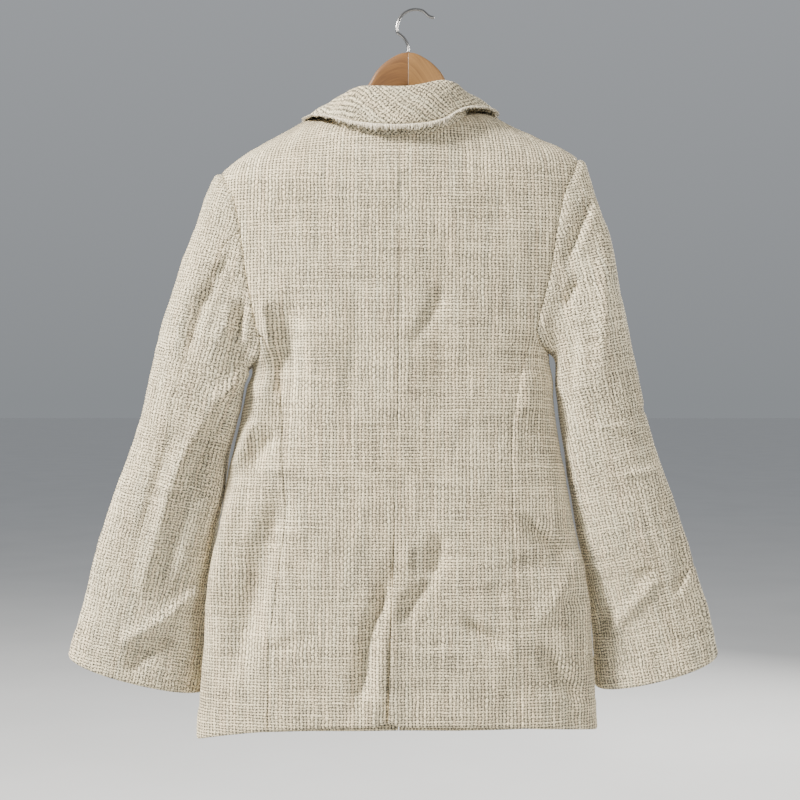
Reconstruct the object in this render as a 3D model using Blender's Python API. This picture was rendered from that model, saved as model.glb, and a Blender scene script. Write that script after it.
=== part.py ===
"""Tweed jacket hanging on a wooden coat hanger.

Metres, +Z up. The origin is the inside top of the hook, where the hanger bears on its peg.
The back of the jacket faces -Y and its front faces +Y. The wearer's left is at -X.
Every cloth piece is a wall of even thickness, cut on one of three smooth forms:
the torso (rings from hem to neck), the sleeves (rings from armhole to cuff) and
the turnover (collar and lapels). Neighbouring pieces meet edge to edge at their seams.
"""
import math

import bmesh
import bpy
import numpy as np

MM = 0.001

# ---------------------------------------------------------------- driving dimensions, in mm
CLOTH = 2.5            # thickness of the tweed with its backing
SEAM_HALF_GAP = 0.15   # each piece stops this far short of its seam line
SLEEVE_HALF_GAP = 0.4  # the same for a sleeve piece
COLLAR_HALF_GAP = 0.6  # the same for the collar and its frayed edge
SECTION = 2.3          # how square a torso ring is: 2 is an ellipse
SLEEVE_SECTION = 2.2   # how square a sleeve ring is
CENTRE = -20           # x of the middle of the body
BACK_ROLL = 1.5        # how quickly a torso ring falls away from its side edge at the back

# Torso rings from hem to neck. z_* are heights at the centre back, both side edges and the
# centre front. x_* are the side edges, back and front the depths, and roll says how quickly
# a ring falls away from its side edge at the front. From the underarm to the shoulder the
# side edge runs inside the sleeve head.
RING_COLUMNS = ("z_back", "z_left", "z_right", "z_front", "x_left", "x_right", "back", "front", "roll")
RINGS = {
    "hem":        (-842, -865, -853, -868, -260, 216, 50, 50, 1.5),
    "low hip":    (-760, -772, -772, -775, -253, 211, 50, 50, 1.5),
    "hip":        (-682, -689, -689, -690, -243, 203, 48, 48, 1.5),
    "high hip":   (-590, -594, -594, -594, -229, 185, 46, 46, 1.5),
    "waist":      (-533, -536, -536, -538, -220, 175, 44, 44, 1.5),
    "midriff":    (-486, -487, -487, -493, -208, 167, 45, 46, 1.5),
    "ribs":       (-450, -451, -444, -460, -200, 162, 46, 48, 1.5),
    "underarm":   (-415, -422, -402, -425, -195, 159, 47, 50, 1.5),
    "chest":      (-375, -380, -365, -388, -223, 179, 48, 52, 1.5),
    "bust":       (-330, -332, -318, -350, -236, 195, 49, 53, 1.5),
    "blade":      (-274, -275, -260, -310, -241, 201, 50, 53, 1.5),
    "yoke":       (-234, -231, -215, -278, -239, 200, 50, 52, 1.5),
    "shoulder":   (-208, -194, -177, -255, -230, 192, 48, 48, 1.5),
    "trapeze":    (-188, -161, -151, -241, -183, 146, 46, 45, 1.5),
    "neck slope": (-173, -143, -137, -231, -151, 114, 45, 42, 1.4),
    "neck foot":  (-163, -131, -124.5, -223, -128, 90, 44, 42, 1.1),
    "neck":       (-155.5, -128, -121, -217, -104, 63, 43, 42, 0.8),
}
UNDERARM = list(RINGS).index("underarm")
SHOULDER = list(RINGS).index("shoulder")
NECK = list(RINGS).index("neck")

# The armhole on the torso: turn goes from the shoulder point (0) to the underarm (180), and
# the other columns say how far out on the ring it lies, at the back and at the front.
ARMHOLE = ((0, 1.0, 1.0), (25, 0.955, 0.95), (50, 0.885, 0.865), (75, 0.838, 0.805),
           (95, 0.817, 0.775), (115, 0.81, 0.77), (135, 0.835, 0.80), (155, 0.91, 0.90),
           (168, 0.965, 0.96), (180, 1.0, 1.0))
ARMHOLE_BLEND = (0.45, 0.75, 0.92)   # how far the first sleeve rings have left the armhole's shape
MITRE_LEAN = 1.6       # the seam's mitre leans this much more to the torso than to the sleeve

# Sleeve rings from the sleeve head to the cuff: the outer point, the inner point (x, z, y of
# each), and the depth of the ring behind and in front of the line between them.
SLEEVE_COLUMNS = ("x_out", "z_out", "y_out", "x_in", "z_in", "y_in", "back", "front")
SLEEVE_LEFT = {
    "head seam":   (-239, -197, 0, -200, -428, 0, 30, 31),
    "head":        (-246, -213, 0, -202.5, -434, 0, 32, 33),
    "cap":         (-256, -240, 0, -203.5, -443, 0, 34, 35),
    "upper arm":   (-272, -284, 0, -205, -455, 0, 36, 36),
    "biceps":      (-290, -338, 0, -207.5, -470, 0, 37, 37),
    "above elbow": (-306, -392, 1, -212.5, -491, 1, 37, 37),
    "elbow":       (-317, -445, 2, -219.5, -521, 3, 36, 36),
    "below elbow": (-332, -499, 3, -226.5, -556, 5, 35, 36),
    "forearm":     (-354, -562, 4, -233, -600, 8, 34, 36),
    "lower arm":   (-375, -624, 5, -241.5, -650, 14, 33, 36),
    "wrist":       (-393, -690, 6, -249, -704, 22, 33, 36),
    "turn-up":     (-405, -740, 6, -252, -760, 27, 33, 36),
    "cuff":        (-412.5, -767, 6, -253, -812, 29, 33, 36),
}
SLEEVE_RIGHT = {
    "head seam":   (202, -181, 0, 164, -408, 0, 30, 31),
    "head":        (208, -197, 0, 166.5, -414, 0, 32, 33),
    "cap":         (216, -225, 0, 167.5, -422, 0, 34, 35),
    "upper arm":   (226, -262, 0, 167.5, -434, 0, 36, 36),
    "biceps":      (237, -311, 0, 167.5, -452, 0, 37, 37),
    "above elbow": (250, -367, 1, 169.5, -476, 1, 37, 37),
    "elbow":       (261, -418, 2, 174, -508, 3, 36, 36),
    "below elbow": (273, -474, 3, 180.5, -546, 5, 35, 36),
    "forearm":     (292, -538, 4, 188, -592, 8, 34, 36),
    "lower arm":   (314, -602, 5, 198, -643, 14, 33, 36),
    "wrist":       (335, -666, 6, 208, -699, 22, 33, 36),
    "turn-up":     (351, -722, 6, 215, -754, 27, 33, 36),
    "cuff":        (360, -766, 6, 217, -807, 29, 33, 36),
}
CUFF_DROP = 9          # the cuff is cut this much lower between its two folds

# Seam lines on the torso as x at named heights, bottom first.
CENTRE_BACK = ((-845, -32), (-740, -29), (-630, -25), (-460, -20.5), (-300, -18.5), (-150, -18))
BACK_SEAM_LEFT = ((-866, -172), (-740, -170), (-697, -164), (-600, -153), (-520, -156),
                  (-463, -161), (-420, -170), (-385, -179))
BACK_SEAM_RIGHT = ((-860, 124), (-720, 118), (-640, 115), (-565, 113), (-500, 113),
                   (-450, 119), (-405, 131), (-365, 147))
FRONT_SEAM_LEFT = ((-866, -176), (-600, -160), (-463, -165), (-420, -172), (-390, -176))
FRONT_SEAM_RIGHT = ((-866, 136), (-600, 122), (-463, 126), (-400, 133), (-372, 138))
VENT_TOP = -628
VENT_LAP = 42          # width of the hidden underlap
VENT_CLEAR = 0.6       # from the inside of the panel to the underlap

# Turnover: the roll line runs from the break point up to the gorge on the neck ring.
BREAK_Z = -470
FRONT_EDGE_HALF_GAP = 0.5
GORGE_TURN = 125       # angle on the neck ring where the collar ends
LAPEL_LIFT = 7.2       # outer face of the lapel above the front at the roll
LAPEL_SINK = 0.042     # it comes this much closer to the front with each mm of its width
LAPEL_FOOT = 0.09      # the lapel starts this share of the roll line above the break point
LAPEL = ((-470, 2), (-444, 8), (-425, 20), (-390, 36), (-345, 52), (-290, 66), (-218, 77))
GORGE_SLOPE = 0.10     # fall of the gorge seam for each mm away from the roll line
NOTCH_DROP = 10        # the lapel's top edge falls this much from the notch to its tip
COLLAR_FLAT = (0, 11, 23, 36)   # points across the collar's end, from the roll line
NOTCH_WIDTH = 42       # collar and lapel are joined this far; the frayed band is the last part
LAPEL_FLAT = (60, 77)  # further points across the lapel at the notch
ROLL_ARC = (-90, -45, 0, 45)    # points round the roll, in degrees

# Collar on each side at turns round the neck: the top of its roll (up, out) and the edge of
# its fall (up, out, on), all from the neck seam, where out is away from the neck and on is
# towards the front.
COLLAR = {
    -1: ((0, 56.5, 5, 4, 12, 0), (25, 52.5, 4, 5.5, 13, 0), (45, 38, 2, 8, 16, 0),
         (65, 26, -1, 5.5, 22, 0), (90, 19, -7, -2, 30.5, 0), (97, 18, -7, 5, 31, 4)),
    1: ((0, 56.5, 5, 4, 12, 0), (25, 58, 4, 6.5, 13, 0), (45, 49, 2, 15, 16, 0),
        (65, 34.5, -1, 9.5, 23, 0), (90, 24, -5, -0.5, 35, 0), (97, 22, -6, 5, 34, 4)),
}
COLLAR_TURN = 97       # from here the collar's section eases into that of the gorge
ROLL_HALF_WIDTH = 6    # half the width of the collar's roll at its top

# Hanger
WIRE = 3.6
HOOK_RADIUS = 22
HANGER_JOINT = -8.6
STEM_GAP = 0.3
# arm: distance from the joint, top and bottom height, thickness, forward sweep
ARM_LEFT = ((0.15, -49.5, -92, 13, 0), (8, -50.5, -95, 13, 0), (17, -54.5, -99, 13, 0),
            (28, -62, -105, 13, -0.5), (38, -72.5, -112, 13, -1.5), (49, -91, -123, 12.5, -3),
            (66, -114, -138, 12, -4.5), (95, -142, -162, 12, -5), (140, -164, -182, 12, -3),
            (170, -179, -196, 11, -1), (184, -188, -202, 10, 0), (190, -194, -200, 7, 0))
ARM_RIGHT = ((0.15, -49.5, -92, 13, 0), (8, -50.5, -95, 13, 0), (17, -54.5, -99, 13, 0),
             (28, -62, -105, 13, -0.5), (38, -72.5, -112, 13, -1.5), (45, -84.5, -120, 12.5, -2.5),
             (56, -108, -138, 12, -3.5), (67, -132, -154, 12, -4), (88, -143, -164, 12, -4),
             (125, -159, -178, 12, -3), (154, -173, -191, 11, -1), (168, -182, -196, 10, 0),
             (174, -187, -194, 7, 0))

# How finely the cloth is faceted
ROWS_BELOW_ARMHOLE = 9
LOOP = 24              # points round an armhole and round a sleeve
BACK_SEAM_INDEX = 9    # point of the armhole where the back seam starts
FRONT_SEAM_INDEX = 15  # point of the armhole where the front seam starts
SHOULDER_ROWS = 4
BACK_COLUMNS = 6
FRONT_COLUMNS = 5
SLEEVE_ROWS = 17
ELBOW_SEAM_INDEX = 5   # sleeve seam on the back of the arm
INNER_SEAM_INDEX = 15  # sleeve seam on the front of the arm

COLOURS = {
    "tweed": ((0.60, 0.53, 0.42), 0.95, 0.0),
    "fringe": ((0.66, 0.60, 0.50), 0.95, 0.0),
    "wood": ((0.36, 0.21, 0.10), 0.5, 0.0),
    "steel": ((0.30, 0.30, 0.31), 0.25, 1.0),
}


# ---------------------------------------------------------------- smooth tables
def along(table, position):
    """Row of a numeric table at a fractional row number, by a smooth curve through the rows."""
    table = np.asarray(table, float)
    last = len(table) - 1
    i = int(min(max(math.floor(position), 0), last - 1))
    f = position - i
    p1, p2 = table[i], table[i + 1]
    p0 = table[i - 1] if i > 0 else 2 * p1 - p2
    p3 = table[i + 2] if i + 2 <= last else 2 * p2 - p1
    return 0.5 * (2 * p1 + (p2 - p0) * f + (2 * p0 - 5 * p1 + 4 * p2 - p3) * f ** 2
                  + (3 * p1 - p0 - 3 * p2 + p3) * f ** 3)


def lookup(table, key):
    """Values of a table at a key, smooth between rows; the first column holds the keys."""
    keys = [row[0] for row in table]
    values = [row[1:] for row in table]
    if keys[0] > keys[-1]:
        keys, values = keys[::-1], values[::-1]
    key = min(max(key, keys[0]), keys[-1])
    i = max(n for n in range(len(keys) - 1) if keys[n] <= key or n == 0)
    return along(values, i + (key - keys[i]) / (keys[i + 1] - keys[i]))


def power(value, exponent):
    return math.copysign(abs(value) ** exponent, value)


# ---------------------------------------------------------------- torso
RING_ROWS = np.array(list(RINGS.values()), float)


def ring(v):
    return dict(zip(RING_COLUMNS, along(RING_ROWS, v)))


def torso(turn, v):
    """Point of the torso: turn 0 is the centre back, -90 the left side, 180 the centre front."""
    r = ring(v)
    s, c = math.sin(math.radians(turn)), math.cos(math.radians(turn))
    left = s < 0
    half = CENTRE - r["x_left"] if left else r["x_right"] - CENTRE
    side = r["z_left"] if left else r["z_right"]
    depth, middle = (r["back"], r["z_back"]) if c >= 0 else (r["front"], r["z_front"])
    roll = BACK_ROLL if c >= 0 else r["roll"]
    return np.array([CENTRE + half * power(s, 2 / SECTION),
                     -power(c, 2 / SECTION) * depth,
                     side + (middle - side) * abs(c) ** roll])


def torso_normal(turn, v):
    step, climb = 1.0, 0.05
    low, high = max(v - climb, 0), min(v + climb, NECK)
    around = torso(turn + step, v) - torso(turn - step, v)
    up = torso(turn, high) - torso(turn, low)
    normal = np.cross(around, up)
    return normal / np.linalg.norm(normal)


def turn_at(x, v, front=False):
    """Turn of the ring's point at this x."""
    r = ring(v)
    half = CENTRE - r["x_left"] if x < CENTRE else r["x_right"] - CENTRE
    share = min(abs(x - CENTRE) / half, 1.0)
    turn = math.degrees(math.asin(share ** (SECTION / 2)))
    turn = 180 - turn if front else turn
    return -turn if x < CENTRE else turn


def turn_on_line(line, v, front=False):
    """Turn where a ring crosses a seam line given as x at named heights."""
    turn = turn_at(lookup(line, ring(v)["z_back"])[0], v, front)
    for _ in range(6):
        turn = turn_at(lookup(line, torso(turn, v)[2])[0], v, front)
    return turn


def armhole(side, index):
    """Turn and ring of one point of the armhole; index 0 is the shoulder, then down the back."""
    angle = 360 * index / LOOP % 360
    front = angle > 180
    v = UNDERARM + (SHOULDER - UNDERARM) * (1 + math.cos(math.radians(angle))) / 2
    share = lookup(ARMHOLE, 360 - angle if front else angle)[1 if front else 0]
    turn = math.degrees(math.asin(min(share, 1.0) ** (SECTION / 2)))
    turn = 180 - turn if front else turn
    return side * turn, v


def armhole_point(side, index):
    return torso(*armhole(side, index))


# ---------------------------------------------------------------- sleeves
def sleeve_ring(row, angle):
    r = dict(zip(SLEEVE_COLUMNS, row))
    outer = np.array([r["x_out"], r["y_out"], r["z_out"]])
    inner = np.array([r["x_in"], r["y_in"], r["z_in"]])
    c, s = math.cos(math.radians(angle)), math.sin(math.radians(angle))
    depth = r["back"] if s >= 0 else r["front"]
    point = (outer + inner) / 2 + (outer - inner) / 2 * power(c, 2 / SLEEVE_SECTION)
    point[1] -= depth * power(s, 2 / SLEEVE_SECTION)
    return point


def sleeve_line(side, index):
    """Control points of the sleeve along one lengthwise line, from the armhole to the cuff."""
    table = SLEEVE_LEFT if side < 0 else SLEEVE_RIGHT
    angle = 360 * index / LOOP % 360
    start = armhole_point(side, index)
    middle = (armhole_point(side, 0) + armhole_point(side, LOOP // 2)) / 2
    points = [start] + [sleeve_ring(row, angle) for row in table.values()]
    for i, (row, blend) in enumerate(zip(table.values(), ARMHOLE_BLEND), start=1):
        shift = (sleeve_ring(row, 0) + sleeve_ring(row, 180)) / 2 - middle
        points[i] = points[i] * blend + (start + shift) * (1 - blend)
    points[-1][2] -= CUFF_DROP * abs(math.sin(math.radians(angle)))
    return np.array(points)


def sleeve(side, index, t):
    return along(sleeve_line(side, index), t)


def sleeve_face(side, index, t):
    """Normal of the sleeve's surface, pointing out of the sleeve."""
    low, high = max(t - 0.05, 0), min(t + 0.05, len(SLEEVE_LEFT))
    around = sleeve(side, index + 0.25, t) - sleeve(side, index - 0.25, t)
    down = sleeve(side, index, high) - sleeve(side, index, low)
    normal = np.cross(around, down) * side
    return normal / np.linalg.norm(normal)


def armhole_normal(side, index):
    """The mitre that torso and sleeve share at the armhole seam."""
    normal = MITRE_LEAN * torso_normal(*armhole(side, index)) + sleeve_face(side, index, 0.3)
    return normal / np.linalg.norm(normal)


def sleeve_normal(side, index, t):
    return sleeve_face(side, index, t) if t > 0 else armhole_normal(side, index)


# ---------------------------------------------------------------- turnover
def front_at(x, z):
    """Turn and ring of the front at this x and z."""
    low, high = 0.0, float(NECK)
    for _ in range(30):
        v = (low + high) / 2
        if torso(turn_at(x, v, front=True), v)[2] < z:
            low = v
        else:
            high = v
    return turn_at(x, v, front=True), v


def gorge(side):
    return torso(side * GORGE_TURN, NECK)


def roll_x(side, z):
    """x of the straight roll line at a height."""
    top = gorge(side)
    foot = CENTRE + side * FRONT_EDGE_HALF_GAP
    return foot + (top[0] - foot) * (z - BREAK_Z) / (top[2] - BREAK_Z)


def roll_turn(side, v):
    """Turn of the front's free edge on a ring: the front edge, then the roll line."""
    edge = turn_at(CENTRE + side * FRONT_EDGE_HALF_GAP, v, front=True)
    if torso(edge, v)[2] <= BREAK_Z:
        return edge
    low, high = 90.0, 179.9
    for _ in range(30):
        turn = (low + high) / 2
        point = torso(side * turn, v)
        if side * (point[0] - roll_x(side, point[2])) > 0:
            low = turn
        else:
            high = turn
    return side * turn


def turnover_section(side, share, widths):
    """Points and normals across the turnover at a height share of the roll line: round the
    roll from the inside of the front, then flat on the front at these widths."""
    x0, z0 = lapel_spot(side, share, 0)
    base, normal = torso(*front_at(x0, z0)), torso_normal(*front_at(x0, z0))
    away = np.array([side * 1.0, 0, 0])
    away -= normal * np.dot(away, normal)
    away /= np.linalg.norm(away)
    radius, middle = (LAPEL_LIFT + CLOTH) / 2, (LAPEL_LIFT - CLOTH) / 2
    points, normals = [], []
    for degrees in ROLL_ARC:
        s, c = math.sin(math.radians(degrees)), math.cos(math.radians(degrees))
        normals.append(-away * c + normal * s)
        points.append(base + normal * middle + radius * normals[-1])
    for width in widths:
        spot = front_at(*lapel_spot(side, share, width))
        normals.append(torso_normal(*spot))
        points.append(torso(*spot) + (LAPEL_LIFT - LAPEL_SINK * width) * normals[-1])
    return np.array(points), np.array(normals)


def lapel_spot(side, share, reach):
    """x and z on the front, this share up the roll line and this far out from it."""
    z_roll = BREAK_Z + (gorge(side)[2] - BREAK_Z) * share
    drop = NOTCH_DROP * max(0.0, (reach - NOTCH_WIDTH) / (LAPEL_FLAT[-1] - NOTCH_WIDTH))
    return roll_x(side, z_roll) + side * reach, z_roll - GORGE_SLOPE * reach * share - drop * share ** 4


def collar_table_section(side, turn):
    """Outer face of the collar from the neck seam over the roll to the edge, as points."""
    roll_up, roll_out, edge_up, edge_out, edge_on = lookup(COLLAR[side], turn)
    seam = torso(side * turn, NECK)
    out = seam - np.array([(ring(NECK)["x_left"] + ring(NECK)["x_right"]) / 2, 0, seam[2]])
    out /= np.linalg.norm(out)
    up = np.array([0, 0, 1.0])
    inside = seam - CLOTH * torso_normal(side * turn, NECK)
    top = seam + up * roll_up + out * roll_out
    edge = seam + up * edge_up + out * edge_out + np.array([0, edge_on, 0])
    near = top - out * ROLL_HALF_WIDTH - up * ROLL_HALF_WIDTH * 0.8
    far = top + out * ROLL_HALF_WIDTH - up * ROLL_HALF_WIDTH * 0.8
    rise = inside + 0.45 * (top - seam) + out * 0.8
    belly = (far + edge) / 2 + out * 2 + up * 1.5
    control = np.array([inside, rise, near, top, far, belly, edge])
    return np.array([along(control, w) for w in (0, 1, 1.6, 2.2, 3, 3.8, 4.8, 5.75, 6)])


def collar_section(side, turn):
    """As above, easing into the section of the gorge on the front of the neck."""
    if turn <= COLLAR_TURN:
        return collar_table_section(side, turn)
    share = (turn - COLLAR_TURN) / (GORGE_TURN - COLLAR_TURN)
    end, _ = turnover_section(side, 1, COLLAR_FLAT + (NOTCH_WIDTH,))
    start_offsets = collar_table_section(side, COLLAR_TURN) - torso(side * COLLAR_TURN, NECK)
    end_offsets = end - gorge(side)
    return torso(side * turn, NECK) + start_offsets * (1 - share) + end_offsets * share


# ---------------------------------------------------------------- building
def material(name):
    found = bpy.data.materials.get(name)
    if found:
        return found
    colour, rough, metal = COLOURS[name]
    made = bpy.data.materials.new(name)
    made.use_nodes = True
    shader = made.node_tree.nodes["Principled BSDF"]
    shader.inputs["Base Color"].default_value = (*colour, 1)
    shader.inputs["Roughness"].default_value = rough
    shader.inputs["Metallic"].default_value = metal
    made.diffuse_color = (*colour, 1)
    return made


def add(name, mesh_or_curve, finish):
    piece = bpy.data.objects.new(name, mesh_or_curve)
    mesh_or_curve.materials.append(material(finish))
    bpy.data.collections["tweed_jacket_on_hanger"].objects.link(piece)
    return piece


def pull_back(points, gap):
    """Moves the border of a grid of points inwards, so that a piece stops short of its seams."""
    result = points.copy()
    for edge, inner in ((0, 1), (-1, -2)):
        step = points[inner] - points[edge]
        result[edge] += gap * step / np.linalg.norm(step, axis=-1, keepdims=True)
        step = points[:, inner] - points[:, edge]
        result[:, edge] += gap * step / np.linalg.norm(step, axis=-1, keepdims=True)
    return result


def wall(name, outer, normals, finish="tweed", gap=SEAM_HALF_GAP):
    """Closed wall: a grid of outer points, the same grid moved in, and a rim round both."""
    outer = np.asarray(outer, float)
    inner = outer - CLOTH * np.asarray(normals, float)
    outer, inner = pull_back(outer, gap), pull_back(inner, gap)
    rows, columns = outer.shape[:2]
    bm = bmesh.new()
    faces = [[[bm.verts.new(p * MM) for p in row] for row in layer] for layer in (outer, inner)]
    for layer in faces:
        for r in range(rows - 1):
            for c in range(columns - 1):
                bm.faces.new((layer[r][c], layer[r][c + 1], layer[r + 1][c + 1], layer[r + 1][c]))
    border = ([(0, c) for c in range(columns)] + [(r, columns - 1) for r in range(1, rows)]
              + [(rows - 1, c) for c in range(columns - 2, -1, -1)] + [(r, 0) for r in range(rows - 2, 0, -1)])
    for (r0, c0), (r1, c1) in zip(border, border[1:] + border[:1]):
        bm.faces.new((faces[0][r0][c0], faces[0][r1][c1], faces[1][r1][c1], faces[1][r0][c0]))
    bmesh.ops.recalc_face_normals(bm, faces=bm.faces)
    if bm.calc_volume(signed=True) < 0:
        bmesh.ops.reverse_faces(bm, faces=bm.faces)
    mesh = bpy.data.meshes.new(name)
    bm.to_mesh(mesh)
    bm.free()
    return add(name, mesh, finish)


def torso_wall(name, grid, armhole_marks=None, finish="tweed", offset=0.0):
    """Wall on the torso from a grid of (turn, v); marked points take the armhole's mitre."""
    marks = armhole_marks or {}
    normals = [[marks[(r, c)] if (r, c) in marks else torso_normal(*spot) for c, spot in enumerate(row)]
               for r, row in enumerate(grid)]
    points = [[torso(*spot) + offset * torso_normal(*spot) for spot in row] for row in grid]
    return wall(name, points, normals, finish)


def panel_heights(side, first, last):
    """Rings of a panel's rows: up to the armhole, up the armhole, then along the shoulder."""
    start = armhole(side, first)[1]
    below = list(np.linspace(0, start, ROWS_BELOW_ARMHOLE + 1))
    step = 1 if last > first else -1
    beside = [armhole(side, i)[1] for i in range(first + step, last + step, step)]
    above = list(np.linspace(SHOULDER, NECK, SHOULDER_ROWS + 1))[1:]
    return below, beside, above


def body_panel(name, side, seam, seam_index, shoulder_index, columns, inner_edge, front):
    """Back or front panel: from its free or centre edge out to the seam, armhole and shoulder."""
    below, beside, above = panel_heights(side, seam_index, shoulder_index)
    step = 1 if shoulder_index > seam_index else -1
    grid, marks = [], {}
    for r, v in enumerate(below + beside + above):
        if r < len(below) - 1:
            outer_turn = turn_on_line(seam, v, front)
        elif r < len(below) + len(beside):
            index = seam_index + step * (r - len(below) + 1)
            outer_turn = armhole(side, index)[0]
            marks[(r, columns)] = armhole_normal(side, index)
        else:
            outer_turn = side * 90
        inner_turn = inner_edge(v)
        if front:
            inner_turn, outer_turn = abs(inner_turn) * side, abs(outer_turn) * side
        grid.append([(inner_turn + (outer_turn - inner_turn) * c / columns, v)
                     for c in range(columns + 1)])
    return torso_wall(name, grid, marks)


def make_backs():
    centre = lambda v: turn_on_line(CENTRE_BACK, v)
    for side, name, seam in ((-1, "back_left", BACK_SEAM_LEFT), (1, "back_right", BACK_SEAM_RIGHT)):
        body_panel(name, side, seam, BACK_SEAM_INDEX, 0, BACK_COLUMNS, centre, front=False)


def make_fronts():
    for side, name, seam in ((-1, "front_left", FRONT_SEAM_LEFT), (1, "front_right", FRONT_SEAM_RIGHT)):
        body_panel(name, side, seam, FRONT_SEAM_INDEX, LOOP, FRONT_COLUMNS,
                   lambda v, side=side: roll_turn(side, v), front=True)


def make_sides():
    for side, name, back, front in ((-1, "side_left", BACK_SEAM_LEFT, FRONT_SEAM_LEFT),
                                    (1, "side_right", BACK_SEAM_RIGHT, FRONT_SEAM_RIGHT)):
        count = FRONT_SEAM_INDEX - BACK_SEAM_INDEX
        tops = [armhole(side, BACK_SEAM_INDEX + c) for c in range(count + 1)]
        grid, marks = [], {}
        for r in range(ROWS_BELOW_ARMHOLE + 1):
            rise = r / ROWS_BELOW_ARMHOLE
            v_back, v_front = tops[0][1] * rise, tops[-1][1] * rise
            if r == ROWS_BELOW_ARMHOLE:
                grid.append(tops)
                marks.update({(r, c): armhole_normal(side, BACK_SEAM_INDEX + c) for c in range(count + 1)})
                continue
            start = abs(turn_on_line(back, v_back))
            end = abs(turn_on_line(front, v_front, front=True))
            spots = []
            for c in range(count + 1):
                even = start + (end - start) * c / count
                turn = even + (abs(tops[c][0]) - even) * rise ** 4 if 0 < c < count else even
                spots.append((side * turn, tops[c][1] * rise))
            grid.append(spots)
        torso_wall(name, grid, marks)


def make_vent_underlap():
    rows = 5
    grid = []
    for r in range(rows + 1):
        z = -838 + (VENT_TOP + 838) * r / rows
        v = next(n / 100 for n in range(NECK * 100) if ring(n / 100)["z_back"] >= z)
        start = lookup(CENTRE_BACK, z)[0]
        lap = VENT_LAP if r < rows else VENT_LAP * 0.55
        grid.append([(turn_at(start + lap * c / 2, v), v) for c in range(3)])
    torso_wall("vent_underlap", grid, offset=-(CLOTH + VENT_CLEAR))


def make_sleeves():
    last = len(SLEEVE_LEFT)
    rows = [last * (r / SLEEVE_ROWS) for r in range(SLEEVE_ROWS + 1)]
    for side, word in ((-1, "left"), (1, "right")):
        top = range(INNER_SEAM_INDEX - LOOP, ELBOW_SEAM_INDEX + 1)
        under = range(ELBOW_SEAM_INDEX, INNER_SEAM_INDEX + 1)
        for name, indices in ((f"top_sleeve_{word}", top), (f"under_sleeve_{word}", under)):
            points = [[sleeve(side, i % LOOP, t) for i in indices] for t in rows]
            normals = [[sleeve_normal(side, i % LOOP, t) for i in indices] for t in rows]
            wall(name, points, normals, gap=SLEEVE_HALF_GAP)


def grid_normals(points, towards):
    """Normals of a grid of points, turned to the side of a guide direction at one corner."""
    points = np.asarray(points, float)
    normals = np.cross(np.gradient(points, axis=0), np.gradient(points, axis=1))
    normals /= np.linalg.norm(normals, axis=-1, keepdims=True)
    return normals if np.dot(normals[-1, -1], towards) > 0 else -normals


def make_collar():
    front_turns = list(np.linspace(GORGE_TURN, 90, FRONT_COLUMNS + 1))[:-1]
    centre = turn_on_line(CENTRE_BACK, NECK)
    left = [-t for t in front_turns] + list(np.linspace(-90, centre, BACK_COLUMNS + 1))
    right = list(np.linspace(centre, 90, BACK_COLUMNS + 1))[1:] + front_turns[::-1]
    turns = left + right
    points = np.array([collar_section(math.copysign(1, turn), abs(turn)) for turn in turns])
    normals = grid_normals(points, points[-1, -1] - points[-1, 0])
    for end, side in ((0, -1), (-1, 1)):
        normals[end] = turnover_section(side, 1, COLLAR_FLAT + (NOTCH_WIDTH,))[1]
    normals[:, 0] = [-torso_normal(turn, NECK) for turn in turns]
    wall("collar", points[:, :-1], normals[:, :-1], gap=COLLAR_HALF_GAP)
    wall("collar_fringe", points[:, -2:], normals[:, -2:], "fringe", COLLAR_HALF_GAP)


def make_lapels():
    rows = 9
    flat = COLLAR_FLAT + (NOTCH_WIDTH,) + LAPEL_FLAT
    for side, name in ((-1, "lapel_left"), (1, "lapel_right")):
        sections = []
        for r in range(rows + 1):
            share = LAPEL_FOOT + (1 - LAPEL_FOOT) * r / rows
            z_roll = BREAK_Z + (gorge(side)[2] - BREAK_Z) * share
            narrowing = lookup(LAPEL, z_roll)[0] / LAPEL_FLAT[-1] if share < 1 else 1
            sections.append(turnover_section(side, share, [w * narrowing for w in flat]))
        points, normals = (np.array(part) for part in zip(*sections))
        wall(name, points, normals)


def make_arm(name, side, rows):
    """Wooden arm: rounded sections from the joint out to the tip."""
    count = 12
    bm = bmesh.new()
    rings_made = []
    for reach, top, bottom, thick, sweep in rows:
        x = HANGER_JOINT + side * reach
        height = (top - bottom) / 2
        ring_made = []
        for i in range(count):
            angle = 2 * math.pi * i / count
            y = sweep + thick / 2 * power(math.cos(angle), 0.6)
            z = (top + bottom) / 2 + height * power(math.sin(angle), 0.75)
            ring_made.append(bm.verts.new((x * MM, y * MM, z * MM)))
        rings_made.append(ring_made)
    for first, second in zip(rings_made, rings_made[1:]):
        for i in range(count):
            j = (i + 1) % count
            bm.faces.new((first[i], first[j], second[j], second[i]))
    bm.faces.new(rings_made[0])
    bm.faces.new(rings_made[-1])
    bmesh.ops.recalc_face_normals(bm, faces=bm.faces)
    mesh = bpy.data.meshes.new(name)
    bm.to_mesh(mesh)
    bm.free()
    return add(name, mesh, "wood")


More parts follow.
